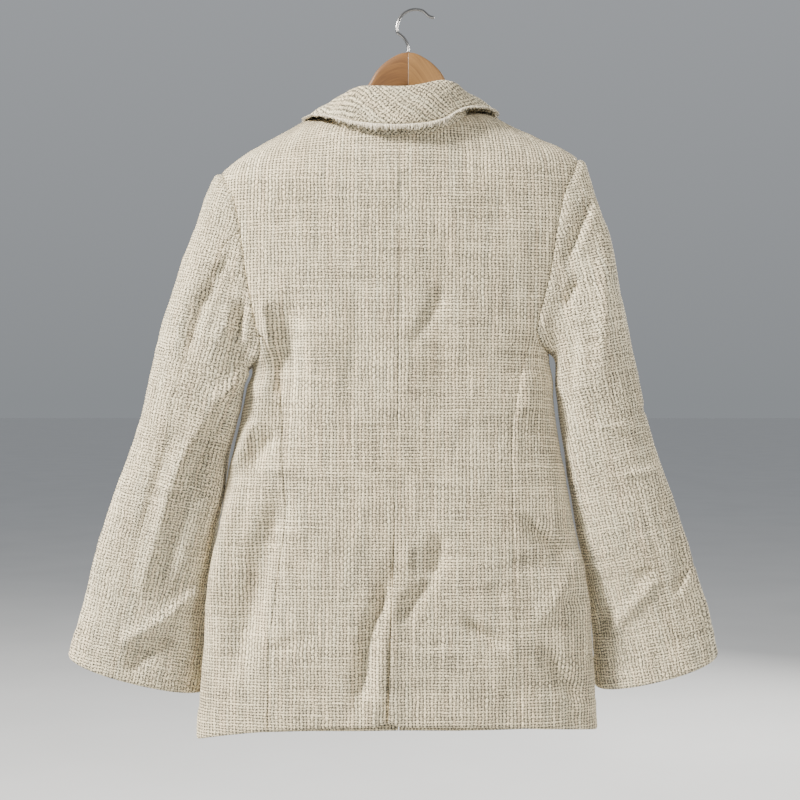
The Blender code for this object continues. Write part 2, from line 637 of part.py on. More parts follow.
def make_hook():
    """Wire hook: a stem, an arc about the peg and a short tip, all in the plane of the arms."""
    centre_z = WIRE / 2 - HOOK_RADIUS
    stem_x = HANGER_JOINT
    path = [(stem_x, ARM_LEFT[0][1] + STEM_GAP), (stem_x, -45), (stem_x - 0.4, -41),
            (stem_x - 2.2, -36.5), (stem_x - 5.2, -32.2), (stem_x - 8.6, -28.8)]
    for degrees in range(195, 55, -10):
        angle = math.radians(degrees)
        path.append((HOOK_RADIUS * math.cos(angle), centre_z + HOOK_RADIUS * math.sin(angle)))
    path += [(15.5, -5.6), (19, -7.3), (22.5, -8)]
    curve = bpy.data.curves.new("hook", "CURVE")
    curve.dimensions = "3D"
    curve.bevel_depth = WIRE / 2 * MM
    curve.bevel_resolution = 2
    curve.use_fill_caps = True
    spline = curve.splines.new("POLY")
    spline.points.add(len(path) - 1)
    for point, (x, z) in zip(spline.points, path):
        point.co = (x * MM, 0, z * MM, 1)
    return add("hook", curve, "steel")


def build():
    for old in list(bpy.data.objects):
        bpy.data.objects.remove(old, do_unlink=True)
    home = bpy.data.collections.new("tweed_jacket_on_hanger")
    bpy.context.scene.collection.children.link(home)
    make_backs()
    make_vent_underlap()
    make_sides()
    make_fronts()
    make_lapels()
    make_collar()
    make_sleeves()
    make_arm("hanger_arm_left", -1, ARM_LEFT)
    make_arm("hanger_arm_right", 1, ARM_RIGHT)
    make_hook()


build()
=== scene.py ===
"""Cream tweed jacket hanging on a wooden coat hanger.

Metres, +Z up; the tables are in millimetres. The origin is the inside top of the hook.
The jacket's back faces -Y and its front +Y, and the wearer's left is at -X.
The cloth is cut on three smooth forms: rings for the torso, rings for each sleeve and a rolled
section for the collar and lapels. Folds, ripples and seam grooves are laid over that cut, and
every cloth piece is a closed shell with rounded edges.
"""
import math

import bpy
import numpy as np
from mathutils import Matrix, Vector


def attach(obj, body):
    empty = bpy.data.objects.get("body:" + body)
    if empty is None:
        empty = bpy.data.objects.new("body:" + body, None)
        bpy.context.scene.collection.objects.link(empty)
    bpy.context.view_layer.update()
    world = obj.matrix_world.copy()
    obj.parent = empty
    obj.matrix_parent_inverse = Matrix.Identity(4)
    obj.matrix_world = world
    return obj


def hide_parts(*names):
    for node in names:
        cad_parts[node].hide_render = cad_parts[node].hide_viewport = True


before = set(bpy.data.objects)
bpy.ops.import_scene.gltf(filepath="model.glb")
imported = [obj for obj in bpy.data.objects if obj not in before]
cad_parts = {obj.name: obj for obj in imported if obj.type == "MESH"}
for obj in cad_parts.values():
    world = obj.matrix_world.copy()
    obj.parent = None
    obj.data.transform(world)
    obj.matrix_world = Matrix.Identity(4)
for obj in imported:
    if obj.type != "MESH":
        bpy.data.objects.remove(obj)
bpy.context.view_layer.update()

MM = 0.001

# ---------------------------------------------------------------- the cut, in mm
CLOTH = 2.5              # thickness of the tweed with its backing
SEAM_HALF_GAP = 0.15     # a piece stops this far short of its seam line
SECTION = 2.3            # how square a torso ring is: 2 is an ellipse
SLEEVE_SECTION = 2.2
CENTRE = -20             # x of the middle of the body
BACK_ROLL = 1.5          # how fast a torso ring falls from its side edge to the centre back

# Torso rings from hem to neck: heights at the centre back, both side edges and the centre
# front, x of the side edges, depths behind and in front, and how fast the front falls.
RING_COLUMNS = ("z_back", "z_left", "z_right", "z_front", "x_left", "x_right", "back", "front", "roll")
RINGS = (
    (-842, -865, -853, -868, -260, 216, 50, 50, 1.5),     # hem
    (-760, -772, -772, -775, -253, 211, 50, 50, 1.5),     # low hip
    (-682, -689, -689, -690, -243, 203, 48, 48, 1.5),     # hip
    (-590, -594, -594, -594, -229, 185, 46, 46, 1.5),     # high hip
    (-533, -536, -536, -538, -220, 175, 44, 44, 1.5),     # waist
    (-486, -487, -487, -493, -208, 167, 45, 46, 1.5),     # midriff
    (-450, -451, -444, -460, -200, 162, 46, 48, 1.5),     # ribs
    (-415, -422, -402, -425, -195, 159, 47, 50, 1.5),     # underarm
    (-375, -380, -365, -388, -223, 179, 48, 52, 1.5),     # chest
    (-330, -332, -318, -350, -236, 195, 49, 53, 1.5),     # bust
    (-274, -275, -260, -310, -241, 201, 50, 53, 1.5),     # blade
    (-234, -231, -215, -278, -239, 200, 50, 52, 1.5),     # yoke
    (-208, -194, -177, -255, -230, 192, 48, 48, 1.5),     # shoulder
    (-188, -161, -151, -241, -183, 146, 46, 45, 1.5),     # trapeze
    (-173, -143, -137, -231, -151, 114, 45, 42, 1.4),     # neck slope
    (-163, -131, -124.5, -223, -128, 90, 44, 42, 1.1),    # neck foot
    (-155.5, -128, -121, -217, -104, 63, 43, 42, 0.8),    # neck
)
UNDERARM, SHOULDER, NECK = 7, 12, 16     # row numbers above

# How far out on its ring the armhole lies, at the back and at the front, from the shoulder
# point (0 degrees) down to the underarm (180).
ARMHOLE = ((0, 1.0, 1.0), (25, 0.955, 0.95), (50, 0.885, 0.865), (75, 0.838, 0.805),
           (95, 0.817, 0.775), (115, 0.81, 0.77), (135, 0.835, 0.80), (155, 0.91, 0.90),
           (168, 0.965, 0.96), (180, 1.0, 1.0))
ARMHOLE_BLEND = (0.45, 0.75, 0.92)
MITRE_LEAN = 1.6
LOOP = 24                # numbered points round an armhole, 0 at the shoulder, then down the back
BACK_SEAM_POINT, FRONT_SEAM_POINT = 9, 15        # where the body seams meet the armhole
ELBOW_SEAM_POINT, INNER_SEAM_POINT = 5, 15       # where the sleeve seams do

# Sleeve rings from the armhole to the cuff: outer point and inner point (x, z, y of each), and
# the depth behind and in front of the line between them.
SLEEVES = {
    -1: ((-239, -197, 0, -200, -428, 0, 30, 31), (-246, -213, 0, -202.5, -434, 0, 32, 33),
         (-256, -240, 0, -203.5, -443, 0, 34, 35), (-272, -284, 0, -205, -455, 0, 36, 36),
         (-290, -338, 0, -207.5, -470, 0, 37, 37), (-306, -392, 1, -212.5, -491, 1, 37, 37),
         (-317, -445, 2, -219.5, -521, 3, 36, 36), (-332, -499, 3, -226.5, -556, 5, 35, 36),
         (-354, -562, 4, -233, -600, 8, 34, 36), (-375, -624, 5, -241.5, -650, 14, 33, 36),
         (-393, -690, 6, -249, -704, 22, 33, 36), (-405, -740, 6, -252, -760, 27, 33, 36),
         (-412.5, -767, 6, -253, -812, 29, 33, 36)),
    1: ((202, -181, 0, 164, -408, 0, 30, 31), (208, -197, 0, 166.5, -414, 0, 32, 33),
        (216, -225, 0, 167.5, -422, 0, 34, 35), (226, -262, 0, 167.5, -434, 0, 36, 36),
        (237, -311, 0, 167.5, -452, 0, 37, 37), (250, -367, 1, 169.5, -476, 1, 37, 37),
        (261, -418, 2, 174, -508, 3, 36, 36), (273, -474, 3, 180.5, -546, 5, 35, 36),
        (292, -538, 4, 188, -592, 8, 34, 36), (314, -602, 5, 198, -643, 14, 33, 36),
        (335, -666, 6, 208, -699, 22, 33, 36), (351, -722, 6, 215, -754, 27, 33, 36),
        (360, -766, 6, 217, -807, 29, 33, 36)),
}
CUFF_DROP = 9            # the cuff is cut this much lower between its two folds

# Seam lines on the torso: height and x, bottom first
CENTRE_BACK = ((-845, -32), (-740, -29), (-630, -25), (-460, -20.5), (-300, -18.5), (-150, -18))
BACK_SEAMS = {
    -1: ((-866, -172), (-740, -170), (-697, -164), (-600, -153), (-520, -156), (-463, -161),
         (-420, -170), (-385, -179)),
    1: ((-860, 124), (-720, 118), (-640, 115), (-565, 113), (-500, 113), (-450, 119),
        (-405, 131), (-365, 147)),
}
FRONT_SEAMS = {
    -1: ((-866, -176), (-600, -160), (-463, -165), (-420, -172), (-390, -176)),
    1: ((-866, 136), (-600, 122), (-463, 126), (-400, 133), (-372, 138)),
}
VENT_TOP, VENT_FOOT = -628, -838
VENT_LAP = 42
VENT_CLEAR = 0.6

# Turnover: the roll line runs from the break point up to the gorge on the neck ring
BREAK_Z = -470
FRONT_EDGE_HALF_GAP = 0.5
GORGE_TURN = 125
LAPEL_LIFT = 7.2
LAPEL_SINK = 0.042
LAPEL_FOOT = 0.09
LAPEL = ((-470, 2), (-444, 8), (-425, 20), (-390, 36), (-345, 52), (-290, 66), (-218, 77))
GORGE_SLOPE = 0.10
NOTCH_DROP = 10
COLLAR_FLAT = (0, 11, 23, 36, 42)
LAPEL_FLAT = COLLAR_FLAT + (60, 77)
NOTCH_WIDTH = 42
ROLL_ARC = (-90, -45, 0, 45)

# Collar on each side, at turns round the neck: top of its roll (up, out) and edge of its
# fall (up, out, on)
COLLAR = {
    -1: ((0, 56.5, 5, 4, 12, 0), (25, 52.5, 4, 5.5, 13, 0), (45, 38, 2, 8, 16, 0),
         (65, 26, -1, 5.5, 22, 0), (90, 19, -7, -2, 30.5, 0), (97, 18, -7, 5, 31, 4)),
    1: ((0, 56.5, 5, 4, 12, 0), (25, 58, 4, 6.5, 13, 0), (45, 49, 2, 15, 16, 0),
        (65, 34.5, -1, 9.5, 23, 0), (90, 24, -5, -0.5, 35, 0), (97, 22, -6, 5, 34, 4)),
}
COLLAR_TURN = 97
ROLL_HALF_WIDTH = 6

# Hanger: reach from the joint, top, bottom, thickness and forward sweep of each arm section
WIRE = 3.6
HOOK_RADIUS = 22
HANGER_JOINT = -8.6
ARMS = {
    -1: ((0.15, -49.5, -92, 13, 0), (8, -50.5, -95, 13, 0), (17, -54.5, -99, 13, 0),
         (28, -62, -105, 13, -0.5), (38, -72.5, -112, 13, -1.5), (49, -91, -123, 12.5, -3),
         (66, -114, -138, 12, -4.5), (95, -142, -162, 12, -5), (140, -164, -182, 12, -3),
         (170, -179, -196, 11, -1), (184, -188, -202, 10, 0), (190, -194, -200, 7, 0)),
    1: ((0.15, -49.5, -92, 13, 0), (8, -50.5, -95, 13, 0), (17, -54.5, -99, 13, 0),
        (28, -62, -105, 13, -0.5), (38, -72.5, -112, 13, -1.5), (45, -84.5, -120, 12.5, -2.5),
        (56, -108, -138, 12, -3.5), (67, -132, -154, 12, -4), (88, -143, -164, 12, -4),
        (125, -159, -178, 12, -3), (154, -173, -191, 11, -1), (168, -182, -196, 10, 0),
        (174, -187, -194, 7, 0)),
}

# ---------------------------------------------------------------- how the cloth hangs, in mm
GRID = 3.6               # spacing of the cloth's points
COLLAR_POINTS = (5, 4, 3, 3, 3, 4, 5, 3)  # finer points in each step across the collar
LAPEL_POINTS = (2, 2, 2, 2, 4, 4, 4, 3, 6, 6)    # the same across a lapel
EDGE_ROWS = (0.0, 0.7, 1.7, 3.2, 5.4)    # closer points along every edge
EYE = (-18.4, -1700, -462.9)             # where the folds are seen from, behind the jacket
TURNED_UP = 36           # depth of the hem and cuffs that are turned up inside
SLEEVE_TILT = 13         # degrees that the sleeves' weave leans outwards
FOLD_GAIN = 2.0          # how much deeper the folds hang than their listed depths
FRINGE_STRIP = 0.35      # share of the frayed edge that is still woven
ARMHOLE_CALM = 14        # folds fade out this near to an armhole seam
TURN_REACH = 7.0         # how near to an edge the normals turn to their neighbour's
WEAVE_RELIEF = 0.0009    # height of the weave in the finish, in metres
LIT_POINT = (-0.02, 0, -0.45)            # what the lamps face, in metres

# Folds of each part and side: depth (below 0 is a ridge), half width, how much of a ridge runs
# beside it (above 0 on the +x side going down), and its path as x and z.
FOLDS = {
    ("left sleeve", "back"): (
        (2.6, 4.5, -0.5, ((-197, -306), (-199, -327), (-205, -353), (-212, -380), (-223, -403))),
        (1.8, 6, 0.0, ((-225, -290), (-230, -306), (-240, -315))),
        (-1.8, 6, 0.0, ((-221, -332), (-225, -365), (-235, -397))),
        (3.2, 10, -0.5, ((-234, -303), (-243, -330), (-258, -358), (-267, -394), (-277, -430))),
        (-2.4, 7, 0.0, ((-190, -330), (-195, -358), (-200, -386), (-209, -406))),
        (-3.2, 7, 0.0, ((-183, -399), (-197, -418), (-211, -438), (-230, -456), (-252, -471))),
        (3.8, 8, 0.0, ((-221, -465), (-236, -491), (-252, -525), (-262, -556), (-269, -575))),
        (2.6, 9, 0.0, ((-271, -580), (-287, -618), (-298, -653), (-311, -694))),
        (-3.0, 8, 0.0,
         ((-240, -468), (-261, -501), (-280, -537), (-294, -576), (-309, -627), (-323, -677), (-335, -710))),
        (1.6, 10, 0.0, ((-280, -477), (-299, -534), (-316, -588), (-340, -653))),
        (1.8, 5, 0.0, ((-234, -565), (-253, -576), (-275, -585))),
        (1.2, 5, 0.0, ((-246, -634), (-259, -640), (-273, -649))),
        (-3.8, 7, 0.0, ((-243, -675), (-268, -696), (-298, -722), (-328, -739), (-366, -763))),
        (3.4, 9, 0.0, ((-278, -734), (-306, -752), (-327, -770), (-347, -796))),
    ),
    ("right sleeve", "back"): (
        (3.8, 5.5, 0.4, ((212, -211), (201, -242), (189, -272), (176, -306))),
        (3.2, 5, 0.4, ((196, -317), (185, -334), (176, -356))),
        (2.8, 8, 0.4, ((184, -362), (186, -403), (183, -445), (189, -501))),
        (-2.4, 8, 0.0, ((220, -272), (223, -326), (223, -392), (220, -457))),
        (-1.8, 9, 0.0, ((217, -232), (231, -299), (242, -380))),
        (-1.5, 5, 0.3, ((203, -491), (239, -496), (277, -491))),
        (-1.5, 5, 0.3, ((236, -549), (267, -550), (296, -544))),
        (1.2, 3.5, 0.0, ((173, -256), (184, -251), (195, -245))),
        (1.4, 4, 0.0, ((284, -456), (277, -468), (267, -482))),
        (2.0, 4.5, 0.5, ((308, -610), (315, -649), (315, -689))),
        (2.6, 4, 0.5, ((331, -653), (320, -672), (306, -699))),
        (1.6, 5, 0.0, ((289, -664), (274, -670), (260, -671))),
        (2.2, 9, 0.0, ((220, -706), (224, -727), (227, -753))),
        (-2.8, 8, 0.0, ((296, -670), (260, -706), (224, -751))),
    ),
    ("body", "back"): (
        (-3.4, 4.5, 0.0, ((-183, -334), (-177, -375), (-171, -413))),
        (6.2, 18, 0.0,
         ((-150, -320), (-152, -362), (-156, -403), (-159, -445), (-162, -490), (-166, -535))),
        (2.4, 7, 0.0, ((-165, -408), (-167, -434), (-166, -465))),
        (3.2, 8, 0.6, ((-170, -496), (-179, -515), (-190, -537), (-180, -560))),
        (6.0, 16, -0.3,
         ((-167, -551), (-165, -594), (-181, -644), (-195, -699), (-208, -760), (-225, -813))),
        (-3.1, 6, 0.0, ((-185, -480), (-195, -499), (-206, -525), (-220, -556))),
        (-3.8, 9, 0.0, ((-209, -556), (-223, -618), (-237, -683), (-247, -760))),
        (1.6, 7.8, 0.0, ((-180, -765), (-156, -754), (-135, -748), (-114, -745))),
        (6.0, 10, 0.6, ((-30, -649), (-40, -701), (-51, -729), (-59, -763), (-64, -806), (-71, -858))),
        (4.2, 11, 0.0, ((29, -618), (26, -651), (21, -677))),
        (2.8, 9, 0.0, ((26, -670), (8, -691), (-11, -713), (-18, -734))),
        (-1.9, 6, 0.0, ((-9, -630), (-8, -646), (-11, -665))),
        (4.8, 7, 0.4, ((124, -594), (146, -620), (170, -639), (192, -649))),
        (4.6, 7.5, 0.3, ((52, -719), (70, -734), (91, -747), (115, -762))),
        (4.2, 8.5, 0.3, ((148, -752), (167, -784), (184, -806), (210, -818))),
        (2.4, 5.2, 0.0, ((177, -820), (185, -834), (193, -850))),
        (2.2, 6.5, 0.0, ((170, -707), (189, -701), (207, -700))),
        (1.4, 6.5, 0.0, ((82, -681), (96, -694), (110, -701))),
        (-2.6, 7, 0.0, ((186, -668), (167, -701), (140, -734))),
        (1.8, 8, -0.4, ((32, -315), (27, -342), (17, -365), (2, -389), (-4, -408))),
        (1.2, 18, 0.0, ((34, -253), (30, -344), (27, -439), (26, -530))),
        (-2.4, 12, 0.0, ((136, -422), (136, -453), (132, -487))),
        (-2.2, 8, 0.0, ((193, -637), (201, -679), (209, -732))),
        (1.8, 4.5, 0.0, ((104, -656), (154, -658), (195, -657))),
        (-1.4, 5, 0.0, ((-211, -546), (-175, -547), (-139, -545))),
        (2.4, 4.5, 0.0, ((152, -384), (155, -399), (158, -413))),
        (1.6, 12, 0.0, ((-74, -300), (-70, -372), (-76, -450), (-70, -520))),
    ),
    ("left sleeve", "front"): (
        (4.0, 7, 0.5, ((-200, -318), (-206, -352), (-216, -385), (-229, -414))),
        (2.4, 10, 0.4, ((-240, -300), (-250, -345), (-262, -392), (-272, -436))),
        (-2.2, 9, 0.0, ((-218, -345), (-232, -390), (-250, -432))),
        (3.2, 9, -0.4, ((-226, -486), (-254, -500), (-284, -512), (-312, -520))),
        (2.6, 8, 0.4, ((-240, -540), (-268, -548), (-300, -566))),
        (-2.4, 9, 0.0, ((-262, -580), (-290, -630), (-318, -686))),
        (2.8, 8, 0.4, ((-262, -690), (-300, -716), (-346, -742))),
    ),
    ("right sleeve", "front"): (
        (3.8, 7, -0.5, ((166, -296), (171, -330), (181, -364), (190, -396))),
        (2.4, 10, -0.4, ((204, -268), (214, -318), (224, -370), (232, -410))),
        (-2.2, 9, 0.0, ((186, -340), (200, -384), (216, -424))),
        (3.2, 9, 0.4, ((190, -474), (214, -486), (240, -494), (262, -500))),
        (2.6, 8, -0.4, ((204, -524), (228, -536), (256, -556))),
        (-2.4, 9, 0.0, ((228, -560), (248, -610), (270, -668))),
        (2.8, 8, -0.4, ((224, -676), (260, -700), (304, -724))),
    ),
    ("body", "front"): (
        (3.0, 10, 0.4, ((-168, -440), (-160, -482), (-166, -524), (-176, -580))),
        (2.2, 11, 0.0, ((-132, -318), (-120, -362), (-118, -410), (-126, -452))),
        (2.6, 10, -0.4, ((-150, -600), (-160, -668), (-174, -744), (-186, -812))),
        (-2.0, 9, 0.0, ((-96, -520), (-88, -590), (-84, -664))),
        (2.4, 9, 0.5, ((-58, -560), (-66, -640), (-62, -724), (-70, -800))),
        (2.8, 9, -0.4, ((130, -430), (124, -476), (130, -520), (142, -574))),
        (2.2, 11, 0.0, ((98, -312), (88, -356), (86, -400), (92, -446))),
        (2.4, 10, 0.4, ((116, -610), (124, -680), (136, -752), (148, -816))),
        (-2.0, 9, 0.0, ((62, -540), (56, -610), (54, -680))),
        (1.8, 7, 0.3, ((-20, -486), (-48, -498), (-84, -506))),
        (1.8, 7, 0.3, ((-10, -500), (22, -516), (56, -524))),
    ),
}


# ---------------------------------------------------------------- smooth tables
def through(rows, position):
    """Rows of a table at fractional row numbers, on a smooth curve through the rows."""
    rows = np.asarray(rows, float)
    position = np.asarray(position, float)
    last = len(rows) - 1
    first = np.clip(np.floor(position).astype(int), 0, last - 1)
    f = (position - first).reshape(position.shape + (1,) * (rows.ndim - 1))
    padded = np.concatenate([2 * rows[:1] - rows[1:2], rows, 2 * rows[-1:] - rows[-2:-1]])
    p0, p1, p2, p3 = (padded[first + k] for k in range(4))
    return 0.5 * (2 * p1 + (p2 - p0) * f + (2 * p0 - 5 * p1 + 4 * p2 - p3) * f ** 2
                  + (3 * p1 - p0 - 3 * p2 + p3) * f ** 3)


def lookup(table, key):
    """Values of a table at keys, smooth between its rows; the first column holds the keys."""
    table = np.asarray(table, float)
    keys = table[:, 0]
    key = np.clip(key, keys[0], keys[-1])
    first = np.clip(np.searchsorted(keys, key, side="right") - 1, 0, len(keys) - 2)
    return through(table[:, 1:], first + (key - keys[first]) / (keys[first + 1] - keys[first]))


def power(value, exponent):
    return np.sign(value) * np.abs(value) ** exponent


def unit(vectors):
    return vectors / np.maximum(np.linalg.norm(vectors, axis=-1, keepdims=True), 1e-9)


def ease(value):
    """0 below 0, 1 above 1, smooth between."""
    value = np.clip(value, 0, 1)
    return value * value * (3 - 2 * value)


# ---------------------------------------------------------------- torso
def ring(v):
    return dict(zip(RING_COLUMNS, np.moveaxis(through(RINGS, v), -1, 0)))


def torso(turn, v):
    """Points of the torso: turn 0 is the centre back, -90 the left side, 180 the centre front."""
    turn, v = np.broadcast_arrays(np.asarray(turn, float), np.asarray(v, float))
    r = ring(v)
    s, c = np.sin(np.radians(turn)), np.cos(np.radians(turn))
    half = np.where(s < 0, CENTRE - r["x_left"], r["x_right"] - CENTRE)
    side = np.where(s < 0, r["z_left"], r["z_right"])
    depth = np.where(c >= 0, r["back"], r["front"])
    middle = np.where(c >= 0, r["z_back"], r["z_front"])
    return np.stack([CENTRE + half * power(s, 2 / SECTION), -power(c, 2 / SECTION) * depth,
                     side + (middle - side) * np.abs(c) ** np.where(c >= 0, BACK_ROLL, r["roll"])], axis=-1)


def torso_normal(turn, v):
    turn, v = np.broadcast_arrays(np.asarray(turn, float), np.asarray(v, float))
    around = torso(turn + 1, v) - torso(turn - 1, v)
    up = torso(turn, np.minimum(v + 0.05, NECK)) - torso(turn, np.maximum(v - 0.05, 0))
    return unit(np.cross(around, up))


def turn_at(x, v, front=False):
    """Turn of each ring's point at this x."""
    r = ring(v)
    half = np.where(x < CENTRE, CENTRE - r["x_left"], r["x_right"] - CENTRE)
    share = np.minimum(np.abs(x - CENTRE) / half, 1.0)
    turn = np.degrees(np.arcsin(share ** (SECTION / 2)))
    turn = 180 - turn if front else turn
    return np.where(x < CENTRE, -turn, turn)


def turn_on_line(line, v, front=False):
    """Turn where rings cross a seam line given as x at named heights."""
    turn = turn_at(lookup(line, ring(v)["z_back"])[..., 0], v, front)
    for _ in range(6):
        turn = turn_at(lookup(line, torso(turn, v)[..., 2])[..., 0], v, front)
    return turn


def armhole(side, point):
    """Turn and ring of numbered points of the armhole."""
    angle = 360 * np.asarray(point, float) / LOOP % 360
    front = angle > 180
    v = UNDERARM + (SHOULDER - UNDERARM) * (1 + np.cos(np.radians(angle))) / 2
    shares = lookup(ARMHOLE, np.where(front, 360 - angle, angle))
    share = np.where(front, shares[..., 1], shares[..., 0])
    turn = np.degrees(np.arcsin(np.minimum(share, 1.0) ** (SECTION / 2)))
    return side * np.where(front, 180 - turn, turn), v


# ---------------------------------------------------------------- sleeves
def sleeve_rings(side, angle):
    """Points of every sleeve ring at these angles, as rings x angles x 3."""
    rows = np.array(SLEEVES[side], float)[:, None, :]
    outer, inner = rows[..., (0, 2, 1)], rows[..., (3, 5, 4)]
    c, s = np.cos(np.radians(angle))[None, :, None], np.sin(np.radians(angle))[None, :]
    points = (outer + inner) / 2 + (outer - inner) / 2 * power(c, 2 / SLEEVE_SECTION)
    points[..., 1] -= np.where(s >= 0, rows[..., 6], rows[..., 7]) * power(s, 2 / SLEEVE_SECTION)
    return points


def sleeve(side, point, t):
    """Points of the sleeve, rows at t along it and columns at numbered points round it."""
    point = np.asarray(point, float)
    angle = 360 * point / LOOP % 360
    start = torso(*armhole(side, point))
    middle = (torso(*armhole(side, 0)) + torso(*armhole(side, LOOP / 2))) / 2
    rings = sleeve_rings(side, angle)
    centres = sleeve_rings(side, np.array([0.0, 180.0])).mean(axis=1)
    for row, blend in enumerate(ARMHOLE_BLEND):
        rings[row] = rings[row] * blend + (start + centres[row] - middle) * (1 - blend)
    rings[-1, :, 2] -= CUFF_DROP * np.abs(np.sin(np.radians(angle)))
    return through(np.concatenate([start[None], rings]), t)


SLEEVE_END = len(SLEEVES[1])


def sleeve_face(side, point, t):
    """Normals of the sleeve's surface, pointing out of the sleeve."""
    point, t = np.asarray(point, float), np.asarray(t, float)
    around = sleeve(side, point + 0.25, t) - sleeve(side, point - 0.25, t)
    down = (sleeve(side, point, np.minimum(t + 0.05, SLEEVE_END))
            - sleeve(side, point, np.maximum(t - 0.05, 0)))
    return unit(np.cross(around, down) * side)


def armhole_normal(side, point):
    """The mitre that torso and sleeve share at the armhole seam."""
    lean = MITRE_LEAN * torso_normal(*armhole(side, point))
    return unit(lean + sleeve_face(side, point, np.array([0.3]))[0])


# ---------------------------------------------------------------- turnover
def front_at(x, z):
    """Turn and ring of the front at these x and z."""
    x, z = np.broadcast_arrays(np.asarray(x, float), np.asarray(z, float))
    low, high = np.zeros(x.shape), np.full(x.shape, float(NECK))
    for _ in range(30):
        v = (low + high) / 2
        below = torso(turn_at(x, v, front=True), v)[..., 2] < z
        low, high = np.where(below, v, low), np.where(below, high, v)
    return turn_at(x, v, front=True), v


def gorge(side):
    return torso(side * GORGE_TURN, NECK)


def roll_x(side, z):
    """x of the straight roll line at a height."""
    top = gorge(side)
    foot = CENTRE + side * FRONT_EDGE_HALF_GAP
    return foot + (top[0] - foot) * (z - BREAK_Z) / (top[2] - BREAK_Z)


def roll_turn(side, v):
    """Turn of the front's free edge on each ring: the front edge, then the roll line."""
    edge = turn_at(np.full(np.shape(v), CENTRE + side * FRONT_EDGE_HALF_GAP), v, front=True)
    low, high = np.full(np.shape(v), 90.0), np.full(np.shape(v), 179.9)
    for _ in range(30):
        turn = (low + high) / 2
        spot = torso(side * turn, v)
        outside = side * (spot[..., 0] - roll_x(side, spot[..., 2])) > 0
        low, high = np.where(outside, turn, low), np.where(outside, high, turn)
    return np.where(torso(edge, v)[..., 2] <= BREAK_Z, edge, side * turn)


def lapel_spot(side, share, reach):
    """x and z on the front, this share up the roll line and this far out from it."""
    z_roll = BREAK_Z + (gorge(side)[2] - BREAK_Z) * share
    drop = NOTCH_DROP * np.maximum(0.0, (reach - NOTCH_WIDTH) / (LAPEL_FLAT[-1] - NOTCH_WIDTH))
    return (roll_x(side, z_roll) + side * reach,
            z_roll - GORGE_SLOPE * reach * share - drop * share ** 4)


def turnover_section(side, share, widths):
    """Points and normals across the turnover at a height share of the roll line: round the
    roll from the inside of the front, then flat on the front at these widths."""
    spot = front_at(*lapel_spot(side, share, 0.0))
    base, normal = torso(*spot), torso_normal(*spot)
    away = np.array([side * 1.0, 0, 0])
    away = unit(away - normal * np.dot(away, normal))
    radius, middle = (LAPEL_LIFT + CLOTH) / 2, (LAPEL_LIFT - CLOTH) / 2
    arc = np.radians(ROLL_ARC)[:, None]
    round_normals = -away * np.cos(arc) + normal * np.sin(arc)
    widths = np.asarray(widths, float)
    flat = front_at(*lapel_spot(side, share, widths))
    flat_normals = torso_normal(*flat)
    lift = (LAPEL_LIFT - LAPEL_SINK * widths)[:, None]
    points = np.concatenate([base + normal * middle + radius * round_normals,
                             torso(*flat) + lift * flat_normals])
    return points, np.concatenate([round_normals, flat_normals])


def collar_table_section(side, turn):
    """Outer face of the collar from the neck seam over the roll to the edge."""
    roll_up, roll_out, edge_up, edge_out, edge_on = lookup(COLLAR[side], turn)
    seam = torso(side * turn, NECK)
    neck = ring(NECK)
    out = unit(seam - np.array([(neck["x_left"] + neck["x_right"]) / 2, 0, seam[2]]))
    up = np.array([0, 0, 1.0])
    inside = seam - CLOTH * torso_normal(side * turn, NECK)
    top = seam + up * roll_up + out * roll_out
    edge = seam + up * edge_up + out * edge_out + np.array([0, edge_on, 0])
    near = top - out * ROLL_HALF_WIDTH - up * ROLL_HALF_WIDTH * 0.8
    far = top + out * ROLL_HALF_WIDTH - up * ROLL_HALF_WIDTH * 0.8
    rise = inside + 0.45 * (top - seam) + out * 0.8
    belly = (far + edge) / 2 + out * 2 + up * 1.5
    return through([inside, rise, near, top, far, belly, edge], (0, 1, 1.6, 2.2, 3, 3.8, 4.8, 5.75, 6))


def collar_section(side, turn):
    """As above, easing into the section of the gorge on the front of the neck."""
    if turn <= COLLAR_TURN:
        return collar_table_section(side, turn)
    share = (turn - COLLAR_TURN) / (GORGE_TURN - COLLAR_TURN)
    start = collar_table_section(side, COLLAR_TURN) - torso(side * COLLAR_TURN, NECK)
    end = turnover_section(side, 1, COLLAR_FLAT)[0] - gorge(side)
    return torso(side * turn, NECK) + start * (1 - share) + end * share


# ---------------------------------------------------------------- grids of points
def marks(length, start_edge=True, end_edge=True, step=GRID):
    """Shares from 0 to 1 along a length in mm, closer together beside the edges."""
    low = list(EDGE_ROWS) if start_edge else [0.0]
    high = [length - e for e in reversed(EDGE_ROWS)] if end_edge else [length]
    count = max(int(round((high[0] - low[-1]) / step)), 1)
    return np.array(low + list(np.linspace(low[-1], high[0], count + 1))[1:-1] + high) / length


def run(points, axis):
    """Length along a grid from its first row or column, at every point."""
    steps = np.linalg.norm(np.diff(points, axis=axis), axis=-1)
    first = np.zeros_like(np.take(steps, [0], axis=axis))
    return np.concatenate([first, np.cumsum(steps, axis=axis)], axis=axis)


def even_rows(stretches):
    """Rows chosen evenly by length, from values listed densely, one stretch at a time."""
    rows = []
    for number, (listed, points) in enumerate(stretches):
        length = run(points, 0).mean(axis=1)
        shares = marks(length[-1], number == 0, number == len(stretches) - 1)
        picked = [np.interp(shares * length[-1], length, column) for column in listed.T]
        rows.append(np.stack(picked, axis=-1)[(0 if number == 0 else 1):])
    return np.concatenate(rows)


